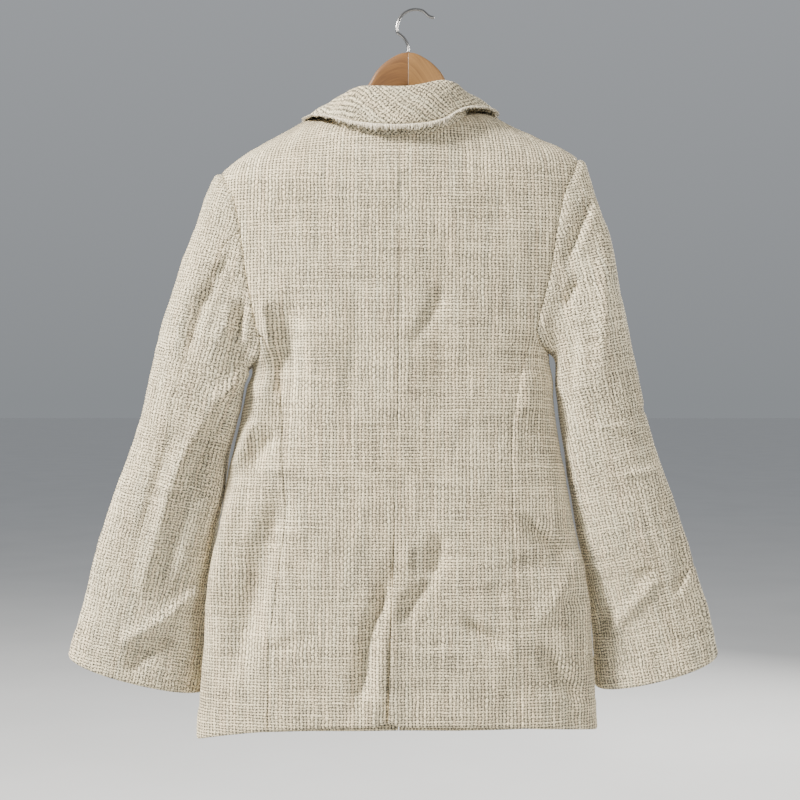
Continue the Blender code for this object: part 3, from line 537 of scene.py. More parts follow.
def body_panel(side, seam, seam_point, shoulder_point, inner_edge, front):
    """Turns and rings of a back or front panel, from its centre edge out to the side seam,
    the armhole and the shoulder."""
    start = armhole(side, seam_point)[1]
    stretches = []
    for kind in ("below", "beside", "above"):
        s = np.linspace(0, 1, 160)
        if kind == "below":
            v = start * s
            outer = turn_on_line(seam, v, front)
        elif kind == "beside":
            outer, v = armhole(side, seam_point + (shoulder_point - seam_point) * s)
            outer[-1] = side * 90
        else:
            v = SHOULDER + (NECK - SHOULDER) * s
            outer = np.full(v.shape, side * 90.0)
        inner = inner_edge(v)
        if front:
            inner, outer = np.abs(inner) * side, np.abs(outer) * side
        edge_points = np.stack([torso(inner, v), torso(outer, v)], axis=1)
        stretches.append((np.stack([v, inner, outer], axis=-1), edge_points))
    v, inner, outer = even_rows(stretches).T
    width = np.median(run(np.stack([torso(inner + (outer - inner) * c, v)
                                    for c in np.linspace(0, 1, 9)], axis=1), 1)[:, -1])
    across = marks(width)
    turns = inner[:, None] + (outer - inner)[:, None] * across
    rings = np.repeat(v[:, None], len(across), axis=1)
    return turns, rings


def side_panel(side):
    """Turns and rings of the panel under the arm, from the back seam to the front seam."""
    count = FRONT_SEAM_POINT - BACK_SEAM_POINT
    top_turns, top_rings = armhole(side, BACK_SEAM_POINT + np.linspace(0, count, 60))
    width = run(torso(top_turns, top_rings)[None], 1)[0, -1]
    point = BACK_SEAM_POINT + count * marks(width * 1.1)
    top_turns, top_rings = armhole(side, point)
    height = abs(torso(top_turns[0], top_rings[0])[2] - torso(top_turns[0], 0)[2])
    rise = marks(height)[:, None]
    start = np.abs(turn_on_line(BACK_SEAMS[side], top_rings[0] * rise))
    end = np.abs(turn_on_line(FRONT_SEAMS[side], top_rings[-1] * rise, front=True))
    across = (point - point[0]) / count
    even = start + (end - start) * across
    turns = even + (np.abs(top_turns) - even) * rise ** 4
    turns[:, 0], turns[:, -1] = even[:, 0], even[:, -1]
    turns[-1] = np.abs(top_turns)
    return side * turns, top_rings * rise


# ---------------------------------------------------------------- folds and relief
def seen_from_behind(points):
    """x and z of each point where the line from the eye to it crosses the plane y = 0."""
    scale = (-EYE[1] / (points[..., 1] - EYE[1]))[..., None]
    return np.array([EYE[0], EYE[2]]) + (points[..., (0, 2)] - np.array([EYE[0], EYE[2]])) * scale


def place_beside(spots, line):
    """How far each spot lies beside a line, with its sign, and its share along that line."""
    best = np.full(len(spots), 1e9)
    offset, along = np.zeros(len(spots)), np.zeros(len(spots))
    for n, (a, b) in enumerate(zip(line, line[1:])):
        stretch = b - a
        share = np.clip((spots - a) @ stretch / (stretch @ stretch), 0, 1)
        gap = spots - a - share[:, None] * stretch
        distance = np.linalg.norm(gap, axis=1)
        side = np.sign(gap[:, 1] * stretch[0] - gap[:, 0] * stretch[1])
        closer = distance < best
        best = np.where(closer, distance, best)
        offset = np.where(closer, side * distance, offset)
        along = np.where(closer, (n + share) / (len(line) - 1), along)
    return offset, along


def fold_height(points, part, backness):
    """Height in mm that the folds of one part of the jacket add at each point. backness is
    the distance towards the back from the middle of the part."""
    flat = seen_from_behind(points)
    height = np.zeros(points.shape[:-1])
    listed = [(1, fold) for fold in FOLDS[part, "back"]] + [(-1, fold) for fold in FOLDS[part, "front"]]
    for way, (depth, half_width, beside, path) in listed:
        line = through(path, np.linspace(0, len(path) - 1, 6 * len(path)))
        reach = 4 * half_width
        near = ((flat > line.min(axis=0) - reach) & (flat < line.max(axis=0) + reach)).all(-1)
        offset, along = place_beside(flat[near], line)
        spread = half_width * (0.85 + 0.3 * along)
        bulge = np.exp(-((offset - np.sign(beside) * 2.0 * spread) / (1.2 * spread)) ** 2)
        profile = np.exp(-(offset / spread) ** 2) - 0.45 * abs(beside) * bulge
        taper = ease(np.minimum(along, 1 - along) / 0.3)
        towards = ease(0.5 + way * backness[near] / 24)
        height[near] -= FOLD_GAIN * depth * profile * taper * towards
    return height


def ripple(points, rng, waves, size):
    """Soft unevenness in mm: waves of these lengths in random directions."""
    height = np.zeros(points.shape[:-1])
    for length in waves:
        direction = unit(rng.normal(size=3)) * 2 * math.pi / length
        height += np.sin(points @ direction + rng.uniform(0, 2 * math.pi))
    return size * height / math.sqrt(len(waves))


def overall_ripple(points):
    """The same field for every piece, so that neighbours agree at their seams."""
    rng = np.random.default_rng(7)
    soft = ripple(points, rng, np.linspace(48, 120, 12), 0.9)
    return soft + ripple(points, rng, np.linspace(17, 40, 14), 0.28)


def edge_relief(distance, kind):
    """How far the outside rises at this distance from an edge, and how far the inside does."""
    if kind == "seam":
        outside = 0.3 * np.exp(-((distance - 7) / 4.0) ** 2) - 0.3 * np.exp(-(distance / 1.6) ** 2)
        return outside, 0.25 * np.exp(-(distance / 1.2) ** 2)
    if kind == "sleeve head":
        outside = 1.0 * np.exp(-((distance - 9) / 5.5) ** 2) - 1.4 * np.exp(-(distance / 1.7) ** 2)
        return outside, 0.25 * np.exp(-(distance / 1.2) ** 2)
    if kind == "turned up":
        thick = 0.7 * ease((TURNED_UP + 3 - distance) / 6)
        stitched = -0.5 * np.exp(-((distance - TURNED_UP) / 3.0) ** 2)
        return (thick + stitched - 1.4 * np.exp(-(distance / 1.6) ** 2),
                -0.9 * ease((TURNED_UP - distance) / 4) + 1.2 * np.exp(-(distance / 1.6) ** 2))
    if kind == "folded":
        return (0.6 * np.exp(-(distance / 9) ** 2) - 1.4 * np.exp(-(distance / 1.6) ** 2),
                0.8 * np.exp(-(distance / 1.6) ** 2))
    return np.zeros_like(distance), np.zeros_like(distance)


def pulled_back(points, gap):
    """The grid with its border moved inwards, so that a piece stops short of its seams."""
    result = points.copy()
    for edge, inner in ((0, 1), (-1, -2)):
        result[edge] += gap * unit(points[inner] - points[edge])
        result[:, edge] += gap * unit(points[:, inner] - points[:, edge])
    return result


def add_piece(name, node, points, faces, places, layer, finish):
    """Visible piece from points in mm. places is a UV in mm for every point or every corner."""
    mesh = bpy.data.meshes.new(node)
    mesh.from_pydata((np.asarray(points) * MM).tolist(), [], faces)
    mesh.polygons.foreach_set("use_smooth", np.ones(len(mesh.polygons), bool))
    places = np.asarray(places)
    if len(places) == len(mesh.vertices):
        corners = np.empty(len(mesh.loops), int)
        mesh.loops.foreach_get("vertex_index", corners)
        places = places[corners]
    mesh.uv_layers.new(name=layer).data.foreach_set("uv", (places * MM).ravel())
    mesh.materials.append(finish)
    piece = bpy.data.objects.new(name, mesh)
    bpy.context.scene.collection.objects.link(piece)
    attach(piece, "root")
    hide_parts(node)
    return piece


def shell(name, outer, inner, grain, finish):
    """Closed cloth piece from two grids of points in mm; grain is where the weave lies."""
    rows, columns = outer.shape[:2]
    middle = pulled_back((outer + inner) / 2, SEAM_HALF_GAP / 2)
    outer, inner = pulled_back(outer, SEAM_HALF_GAP), pulled_back(inner, SEAM_HALF_GAP)
    count = rows * columns
    number = np.arange(count).reshape(rows, columns)
    border = np.concatenate([number[0], number[1:, -1], number[-1, -2::-1], number[-2:0:-1, 0]])
    points = np.concatenate([outer.reshape(-1, 3), inner.reshape(-1, 3), middle.reshape(-1, 3)[border]])
    quads = np.stack([number[:-1, :-1], number[:-1, 1:], number[1:, 1:], number[1:, :-1]], -1).reshape(-1, 4)
    rim, after = np.arange(len(border)), np.roll(np.arange(len(border)), -1)
    following = np.roll(border, -1)
    faces = np.concatenate([
        quads, quads[:, ::-1] + count,
        np.stack([border, 2 * count + rim, 2 * count + after, following], -1),
        np.stack([2 * count + rim, border + count, following + count, 2 * count + after], -1)])
    towards = outer[rows // 2, columns // 2] - inner[rows // 2, columns // 2]
    a, b, c = (points[quads[len(quads) // 2, k]] for k in range(3))
    if np.dot(np.cross(b - a, c - a), towards) < 0:
        faces = faces[:, ::-1]
    flat = grain.reshape(-1, 2)
    places = np.concatenate([flat, flat, flat[border]])
    return add_piece(f"{name}_cloth", name, points, faces.tolist(), places, "weave", finish)


def cloth(name, points, normals, edges, drape, grain, finish):
    """Cloth piece over a grid of points: edges are the kinds of its first row, last row, first
    column and last column, and drape is the height of its folds."""
    down, across = run(points, 0), run(points, 1)
    distances = (down, down[-1] - down, across, across[:, -1:] - across)
    outside, inside = np.zeros(down.shape), np.zeros(down.shape)
    for distance, kind in zip(distances, edges):
        rise, sink = edge_relief(distance, kind)
        outside, inside = outside + rise, inside + sink
    outer = points + normals * (drape + np.maximum(outside, -1.5))[..., None]
    inner = points + normals * (drape - CLOTH + np.minimum(inside, 1.3))[..., None]
    return shell(name, outer, inner, grain, finish)


def straight_grain(points, normals, row, column, lean=0.0):
    """Weave without stretch, its lengthwise yarns leaning from the vertical by this many
    degrees, laid out along one row from one column and then up and down every column."""
    axis = np.array([math.sin(math.radians(lean)), 0, math.cos(math.radians(lean))])
    around = unit(np.cross(axis, normals))
    frame_here = np.stack([around, np.cross(normals, around)], axis=-2)
    across, down = ((frame_here.take(range(1, n), i) + frame_here.take(range(n - 1), i)) / 2
                    for i, n in ((1, points.shape[1]), (0, points.shape[0])))
    along_rows = np.einsum("rcij,rcj->rci", across, np.diff(points, axis=1))
    along_columns = np.einsum("rcij,rcj->rci", down, np.diff(points, axis=0))
    place = np.concatenate([np.zeros((1, 2)), np.cumsum(along_rows[row], axis=0)])
    climb = np.concatenate([np.zeros((1,) + place.shape), np.cumsum(along_columns, axis=0)])
    origin = points[row, column] @ np.stack([np.cross(axis, (0, -1, 0)), axis], axis=-1)
    return origin + place - place[column] + climb - climb[row]


def turned(grain, degrees):
    c, s = math.cos(math.radians(degrees)), math.sin(math.radians(degrees))
    return grain @ np.array([[c, s], [-s, c]])


# ---------------------------------------------------------------- pieces of the jacket
def body_drape(points, from_armhole):
    folds = fold_height(points, "body", -points[..., 1])
    return folds * ease(from_armhole / ARMHOLE_CALM) + overall_ripple(points)


def toward(normals, others, distance):
    """Normals that turn into the others close to an edge."""
    weight = np.exp(-(distance / TURN_REACH) ** 2)[..., None]
    return unit(normals * (1 - weight) + others * weight)


def mitred(points, normals, side):
    """Normals turned to the armhole seam's mitre near it, the same on both sides of the seam."""
    numbers = np.linspace(0, LOOP, 8 * LOOP + 1)
    seam, mitre = torso(*armhole(side, numbers)), armhole_normal(side, numbers)
    gaps = np.linalg.norm(points.reshape(-1, 1, 3) - seam, axis=-1)
    nearest = gaps.argmin(axis=1)
    distance = gaps.min(axis=1).reshape(normals.shape[:-1])
    return toward(normals, mitre[nearest].reshape(normals.shape), distance), distance


def make_backs(finish):
    pieces = []
    for side, name in ((-1, "back_left"), (1, "back_right")):
        turns, rings = body_panel(side, BACK_SEAMS[side], BACK_SEAM_POINT, 0,
                                  lambda v: turn_on_line(CENTRE_BACK, v), False)
        points = torso(turns, rings)
        normals, from_armhole = mitred(points, torso_normal(turns, rings), side)
        drape = body_drape(points, from_armhole)
        height, from_centre = points[..., 2], run(points, 1)
        open_vent = ease((VENT_TOP + 30 - height) / 60)
        if side > 0:
            drape += open_vent * (1.9 * np.exp(-(from_centre / 16) ** 2))
        else:
            drape -= open_vent * (2.3 * np.exp(-(from_centre / 9) ** 2))
        low = run(points, 0)
        points[..., 2] += 5.0 * np.exp(-(from_centre / 11) ** 2 - (low / 24) ** 2)
        kinds = ("turned up", "seam", "seam", "seam")
        pieces.append(cloth(name, points, normals, kinds, drape,
                            straight_grain(points, normals, 0, 0), finish))
    return pieces


def make_fronts(finish):
    pieces = []
    for side, name in ((-1, "front_left"), (1, "front_right")):
        turns, rings = body_panel(side, FRONT_SEAMS[side], FRONT_SEAM_POINT, LOOP,
                                  lambda v, side=side: roll_turn(side, v), True)
        points = torso(turns, rings)
        normals, from_armhole = mitred(points, torso_normal(turns, rings), side)
        drape = body_drape(points, from_armhole)
        hidden_by_lapel = ease((points[..., 2] - BREAK_Z) / 40) * ease((95 - run(points, 1)) / 20)
        drape *= 1 - 0.85 * hidden_by_lapel
        kinds = ("turned up", "seam", "folded", "seam")
        pieces.append(cloth(name, points, normals, kinds, drape,
                            straight_grain(points, normals, 0, 0), finish))
    return pieces


def make_sides(finish):
    pieces = []
    for side, name in ((-1, "side_left"), (1, "side_right")):
        turns, rings = side_panel(side)
        points = torso(turns, rings)
        normals, from_armhole = mitred(points, torso_normal(turns, rings), side)
        kinds = ("turned up", "seam", "seam", "seam")
        pieces.append(cloth(name, points, normals, kinds, body_drape(points, from_armhole),
                            straight_grain(points, normals, 0, 0), finish))
    return pieces


def make_vent_underlap(finish):
    height = VENT_FOOT + (VENT_TOP - VENT_FOOT) * marks(VENT_TOP - VENT_FOOT)
    levels = np.linspace(0, UNDERARM, 400)
    v = np.interp(height, ring(levels)["z_back"], levels)
    start = lookup(CENTRE_BACK, height)[..., 0]
    lap = VENT_LAP * (1 - 0.45 * ease((height - VENT_TOP + 45) / 45))
    reach = start[:, None] + lap[:, None] * marks(VENT_LAP)
    rings = np.repeat(v[:, None], reach.shape[1], axis=1)
    turns = turn_at(reach, rings)
    normals = torso_normal(turns, rings)
    points = torso(turns, rings) - normals * (CLOTH + VENT_CLEAR)
    return cloth("vent_underlap", points, normals, ("folded",) * 4, body_drape(points, 99) * 0.6 - 0.5,
                 straight_grain(points, normals, 0, 0), finish)


def sleeve_backness(side, points, t):
    """How far each point lies towards the back from the sleeve's middle line."""
    rows = np.array(SLEEVES[side], float)
    middle = through((rows[:, 2] + rows[:, 5]) / 2, np.maximum(t - 1, 0))
    return middle[:, None] - points[..., 1]


def make_sleeves(finish):
    pieces = []
    for side, word in ((-1, "left"), (1, "right")):
        for name, first, last in ((f"top_sleeve_{word}", INNER_SEAM_POINT - LOOP, ELBOW_SEAM_POINT),
                                  (f"under_sleeve_{word}", ELBOW_SEAM_POINT, INNER_SEAM_POINT)):
            dense_t, dense_point = np.linspace(0, SLEEVE_END, 300), np.linspace(first, last, 60)
            length = run(sleeve(side, np.linspace(first, last, 9), dense_t), 0).mean(axis=1)
            t = np.interp(marks(length[-1]) * length[-1], length, dense_t)
            width = run(sleeve(side, dense_point, np.array([5.0])), 1)[0]
            point = np.interp(marks(width[-1]) * width[-1], width, dense_point)
            points = sleeve(side, point, t)
            normals, from_armhole = mitred(points, sleeve_face(side, point, t), side)
            drape = fold_height(points, f"{word} sleeve", sleeve_backness(side, points, t))
            drape = drape * ease(from_armhole / ARMHOLE_CALM) + overall_ripple(points)
            kinds = ("sleeve head", "turned up", "seam", "seam")
            elbow = 0 if first == ELBOW_SEAM_POINT else -1
            grain = straight_grain(points, normals, len(points) // 2, elbow, -SLEEVE_TILT * side)
            pieces.append(cloth(name, points, normals, kinds, drape, grain, finish))
    return pieces


def across_turnover(sections, counts):
    """Finer points across the turnover, from the few of each section."""
    places = np.concatenate([np.linspace(n, n + 1, count, endpoint=False)
                             for n, count in enumerate(counts)] + [[len(counts)]])
    return np.moveaxis(through(np.moveaxis(sections, 1, 0), places), 0, 1), places


def surface_normals(points, towards):
    """Normals of a grid of points, turned to the side of a guide direction at its middle."""
    normals = unit(np.cross(np.gradient(points, axis=0), np.gradient(points, axis=1)))
    middle = tuple(n // 2 for n in points.shape[:2])
    return normals if np.dot(normals[middle], towards) > 0 else -normals


def turnover_drape(points, amount):
    rng = np.random.default_rng(19)
    return amount * ripple(points, rng, np.linspace(30, 70, 10), 0.9)


def collar_grid():
    """Fine points and normals of the collar and its frayed edge, and each column's place."""
    centre = float(turn_on_line(CENTRE_BACK, np.array([float(NECK)]))[0])
    turns = np.concatenate([np.linspace(-GORGE_TURN, -90, 22)[:-1], np.linspace(-90, centre, 46),
                            np.linspace(centre, 90, 46)[1:], np.linspace(90, GORGE_TURN, 22)[1:]])
    coarse = np.array([collar_section(math.copysign(1, turn), abs(turn)) for turn in turns])
    points, places = across_turnover(coarse, COLLAR_POINTS)
    rows = len(turns)
    outwards = points[rows // 2, -1] - points[rows // 2, 0]
    normals = surface_normals(points, outwards)
    low = run(points, 1)
    at_neck = -torso_normal(turns, NECK)[:, None]
    normals = toward(normals, np.broadcast_to(at_neck, normals.shape), low)
    return points, normals, places


def make_collar(finish, fray_finish):
    points, normals, places = collar_grid()
    last = int(np.argmin(np.abs(places - 7)))
    body, body_normals = points[:, :last + 1], normals[:, :last + 1]
    along = np.broadcast_to(run(body, 0).mean(axis=1)[:, None], body.shape[:2])
    grain = turned(np.stack([along, run(body, 1)], -1), 45)
    lift = turnover_drape(body, 1.0) * ease(run(body, 1) / 25)
    collar = cloth("collar", body, body_normals, ("folded", "folded", "plain", "plain"), lift, grain, finish)
    fringe = make_fringe(points[:, last:], normals[:, last:], fray_finish)
    return collar, fringe


def make_fringe(points, normals, finish):
    """Frayed edge: a narrow strip of weave, with threads that hang from it in uneven tufts."""
    rng = np.random.default_rng(23)
    rows = np.arange(len(points))
    length = run(points, 0).mean(axis=1)
    width = run(points, 1)[:, -1]
    strip = np.swapaxes(through(np.swapaxes(points, 0, 1), np.linspace(0, FRINGE_STRIP * 3, 4)), 0, 1)
    vertices, faces, places = [], [], []

    def add_tube(grid, uv):
        start = len(vertices)
        count, columns = grid.shape[:2]
        vertices.extend(grid.reshape(-1, 3).tolist())
        places.extend(uv.reshape(-1, 2).tolist())
        for r in range(count - 1):
            for c in range(columns):
                d = (c + 1) % columns
                faces.append((start + r * columns + c, start + r * columns + d,
                              start + (r + 1) * columns + d, start + (r + 1) * columns + c))
        faces.append(tuple(range(start + columns - 1, start - 1, -1)))
        faces.append(tuple(range(start + (count - 1) * columns, start + count * columns)))

    under = strip - normals[:, :4] * CLOTH
    loop = np.concatenate([strip, under[:, ::-1]], axis=1)
    add_tube(loop, np.stack([run(loop, 1), run(loop, 0)], -1))

    knots = np.arange(0, length[-1] + 5, 4.0)
    clumps = rng.normal(size=(2, len(knots)))
    angles = np.linspace(0, 2 * math.pi, 4, endpoint=False)
    place = 0.5
    while place < length[-1] - 0.5:
        row = np.array([np.interp(place, length, rows)])
        line, facings = through(points, row)[0], unit(through(normals, row)[0])
        full = np.interp(place, length, width)
        clump = [np.interp(place, knots, values) for values in clumps]
        tooth = 0.8 * math.sin(2 * math.pi * place / 4.8) + 0.6 * clump[0]
        reach = float(np.clip(1.05 + 0.38 * tooth + rng.normal(0, 0.08), 0.45, 1.9))
        share = np.linspace(0.1, reach, 5) * (len(line) - 1)
        spots = through(line, share)
        facing = unit(through(facings, np.minimum(share, len(line) - 1)))
        ahead, behind = (through(points[:, 0], np.clip(row + d, 0, rows[-1]))[0] for d in (1, -1))
        tangent = unit(ahead - behind)
        bend = np.linspace(0, 1, 5)[:, None]
        aside = (1.1 * clump[1] + rng.normal(0, 0.4)) * bend ** 1.5
        aside = aside + 0.2 * np.sin(bend * 9 + rng.uniform(0, 6))
        spots = spots + tangent * aside + facing * (rng.uniform(-1.7, 0.5) + rng.normal(0.9, 0.6) * bend)
        thick = rng.uniform(0.32, 0.58) * np.array([1.0, 1.1, 1.0, 0.85, 0.4])
        around = (np.cos(angles)[None, :, None] * tangent + np.sin(angles)[None, :, None] * facing[:, None])
        tube = spots[:, None] + around * thick[:, None, None]
        uv = np.stack([np.broadcast_to(4 * place + angles * 0.3, tube.shape[:2]),
                       np.broadcast_to((share * full)[:, None], tube.shape[:2])], -1)
        add_tube(tube, uv)
        place += rng.uniform(0.25, 0.6)

    return add_piece("collar_fringe_threads", "collar_fringe", vertices, faces, places, "weave", finish)


def make_lapels(finish):
    pieces = []
    for side, name in ((-1, "lapel_left"), (1, "lapel_right")):
        height = gorge(side)[2] - BREAK_Z
        shares = LAPEL_FOOT + (1 - LAPEL_FOOT) * marks(height * (1 - LAPEL_FOOT))
        coarse, coarse_normals = [], []
        for share in shares:
            z_roll = BREAK_Z + height * share
            narrowing = lookup(LAPEL, z_roll)[0] / LAPEL_FLAT[-1]
            narrowing += (1 - narrowing) * ease((share - 0.93) / 0.07)
            section = turnover_section(side, share, [w * narrowing for w in LAPEL_FLAT])
            coarse.append(section[0])
            coarse_normals.append(section[1])
        points = across_turnover(np.array(coarse), LAPEL_POINTS)[0]
        normals = unit(across_turnover(np.array(coarse_normals), LAPEL_POINTS)[0])
        width = run(points, 1)
        lift = turnover_drape(points, 0.8) * ease((width - 12) / 20)
        grain = straight_grain(points, normals, len(points) // 2, points.shape[1] // 2)
        kinds = ("folded", "folded", "plain", "folded")
        pieces.append(cloth(name, points, normals, kinds, lift, grain, finish))
    return pieces


# ---------------------------------------------------------------- hanger
def tube_mesh(name, rings_of_points, finish, node):
    """Solid from a run of rings, with domed ends, and its UVs round and along it."""
    grid = np.asarray(rings_of_points, float)
    rows, columns = grid.shape[:2]
    closed = np.concatenate([grid, grid[:, :1]], axis=1)
    length = run(closed, 0).mean(axis=1)
    around = run(closed, 1)
    vertices = grid.reshape(-1, 3).tolist()
    faces, corners = [], []
    for r in range(rows - 1):
        for c in range(columns):
            d = (c + 1) % columns
            faces.append((r * columns + c, (r + 1) * columns + c, (r + 1) * columns + d, r * columns + d))
            corners += [(around[r, c], length[r]), (around[r + 1, c], length[r + 1]),
                        (around[r + 1, c + 1], length[r + 1]), (around[r, c + 1], length[r])]
    for row, order in ((0, 1), (rows - 1, -1)):
        ring_numbers = list(range(row * columns, (row + 1) * columns))[::order]
        faces.append(tuple(ring_numbers))
        corners += [(around[row, n - row * columns], length[row]) for n in ring_numbers]
    return add_piece(name, node, vertices, faces, corners, "grain", finish)


def make_arm(side, finish):
    """Wooden arm: rounded sections from the glued joint out to the domed tip."""
    rows = np.array(ARMS[side], float)
    places = np.concatenate([[0, 0.03, 0.08], np.linspace(0.15, len(rows) - 1, 90)])
    sections = through(rows, places)
    shrink = np.ones(len(sections))
    shrink[:3] = 0.985, 0.995, 1.0
    tip = sections[-1, 0] - sections[:, 0]
    shrink *= np.sqrt(np.clip(1 - (1 - np.clip(tip / 5, 0, 1)) ** 2, 0.02, 1))
    angles = np.linspace(0, 2 * math.pi, 32, endpoint=False)
    rings = []
    for (reach, top, bottom, thick, sweep), share in zip(sections, shrink):
        y = sweep + share * thick / 2 * power(np.cos(angles), 0.62)
        z = (top + bottom) / 2 + share * (top - bottom) / 2 * power(np.sin(angles), 0.78)
        rings.append(np.stack([np.full(angles.shape, HANGER_JOINT + side * reach), y, z], -1))
    word = "left" if side < 0 else "right"
    return tube_mesh(f"hanger_arm_{word}_wood", rings, finish, f"hanger_arm_{word}")


def make_hook(finish):
    """Wire hook: a stem out of the joint, an arc over the peg and a short turned-out tip."""
    centre_z = WIRE / 2 - HOOK_RADIUS
    stem = ((0, -49.2), (0, -45), (0.4, -41), (2.2, -36.5), (5.2, -32.2), (8.6, -28.8))
    path = [(HANGER_JOINT - aside, z) for aside, z in stem]
    for degrees in range(195, 55, -10):
        angle = math.radians(degrees)
        path.append((HOOK_RADIUS * math.cos(angle), centre_z + HOOK_RADIUS * math.sin(angle)))
    path += [(15.5, -5.6), (19, -7.3), (22.5, -8)]
    line = through(path, np.linspace(0, len(path) - 1, 150))
    direction = unit(np.gradient(line, axis=0))
    across = np.stack([direction[:, 1], -direction[:, 0]], -1)
    radius = np.full(len(line), WIRE / 2)
    to_tip = run(line[None], 1)[0]
    to_tip = to_tip[-1] - to_tip
    radius *= np.sqrt(np.clip(1 - (1 - np.clip(to_tip / 1.8, 0, 1)) ** 2, 0.03, 1))
    angles = np.linspace(0, 2 * math.pi, 20, endpoint=False)
    rings = np.zeros((len(line), len(angles), 3))
    rings[..., 0] = line[:, None, 0] + radius[:, None] * across[:, None, 0] * np.cos(angles)
    rings[..., 1] = radius[:, None] * np.sin(angles)
    rings[..., 2] = line[:, None, 1] + radius[:, None] * across[:, None, 1] * np.cos(angles)
    return tube_mesh("hook_wire", rings, finish, "hook")


# ---------------------------------------------------------------- finishes
def wired(tree, kind, settings=None, **values):
    """New node; each value goes to the input of that name, or is linked if it is a socket."""
    node = tree.nodes.new(kind)
    for key, value in (settings or {}).items():
        setattr(node, key, value)
    for key, value in values.items():
        numbered = key[0] == "i" and key[1:].isdigit()
        socket = node.inputs[int(key[1:]) if numbered else key.replace("_", " ")]
        if isinstance(value, bpy.types.NodeSocket):
            tree.links.new(value, socket)
        else:
            socket.default_value = value
    return node


def calc(tree, operation, *terms):
    terms = {f"i{n}": term for n, term in enumerate(terms)}
    return wired(tree, "ShaderNodeMath", {"operation": operation}, **terms).outputs[0]


def mix(tree, factor, first, second, blend="MIX"):
    settings = {"data_type": "RGBA", "blend_type": blend}
    return wired(tree, "ShaderNodeMix", settings, i0=factor, i6=first, i7=second).outputs[2]


def vector_calc(tree, operation, first, second):
    return wired(tree, "ShaderNodeVectorMath", {"operation": operation}, i0=first, i1=second).outputs[0]


def new_finish(name, **constants):
    """Material with its shader's plain values set, its tree and the inputs of its shader."""
    finish = bpy.data.materials.new(name)
    finish.use_nodes = True
    shader = finish.node_tree.nodes["Principled BSDF"]
    for label, value in constants.items():
        shader.inputs[label.replace("_", " ")].default_value = value
    return finish, finish.node_tree, shader.inputs


def group_with(name, inputs, outputs):
    tree = bpy.data.node_groups.new(name, "ShaderNodeTree")
    for label, kind, value in inputs:
        socket = tree.interface.new_socket(label, in_out="INPUT", socket_type=kind)
        if value is not None:
            socket.default_value = value
    for label, kind in outputs:
        tree.interface.new_socket(label, in_out="OUTPUT", socket_type=kind)
    return tree, tree.nodes.new("NodeGroupInput").outputs, tree.nodes.new("NodeGroupOutput").inputs


def ramp(tree, factor, stops):
    node = wired(tree, "ShaderNodeValToRGB", None, Fac=factor)
    elements = node.color_ramp.elements
    while len(elements) < len(stops):
        elements.new(0.5)
    for element, (place, colour) in zip(elements, stops):
        element.position = place
        element.color = (*colour, 1)
    return node.outputs[0]


def noise(tree, vector, scale, detail=2.0, roughness=0.5, dimensions="3D"):
    return wired(tree, "ShaderNodeTexNoise", {"noise_dimensions": dimensions}, Vector=vector, Scale=scale,
                 Detail=detail, Roughness=roughness).outputs["Fac"]


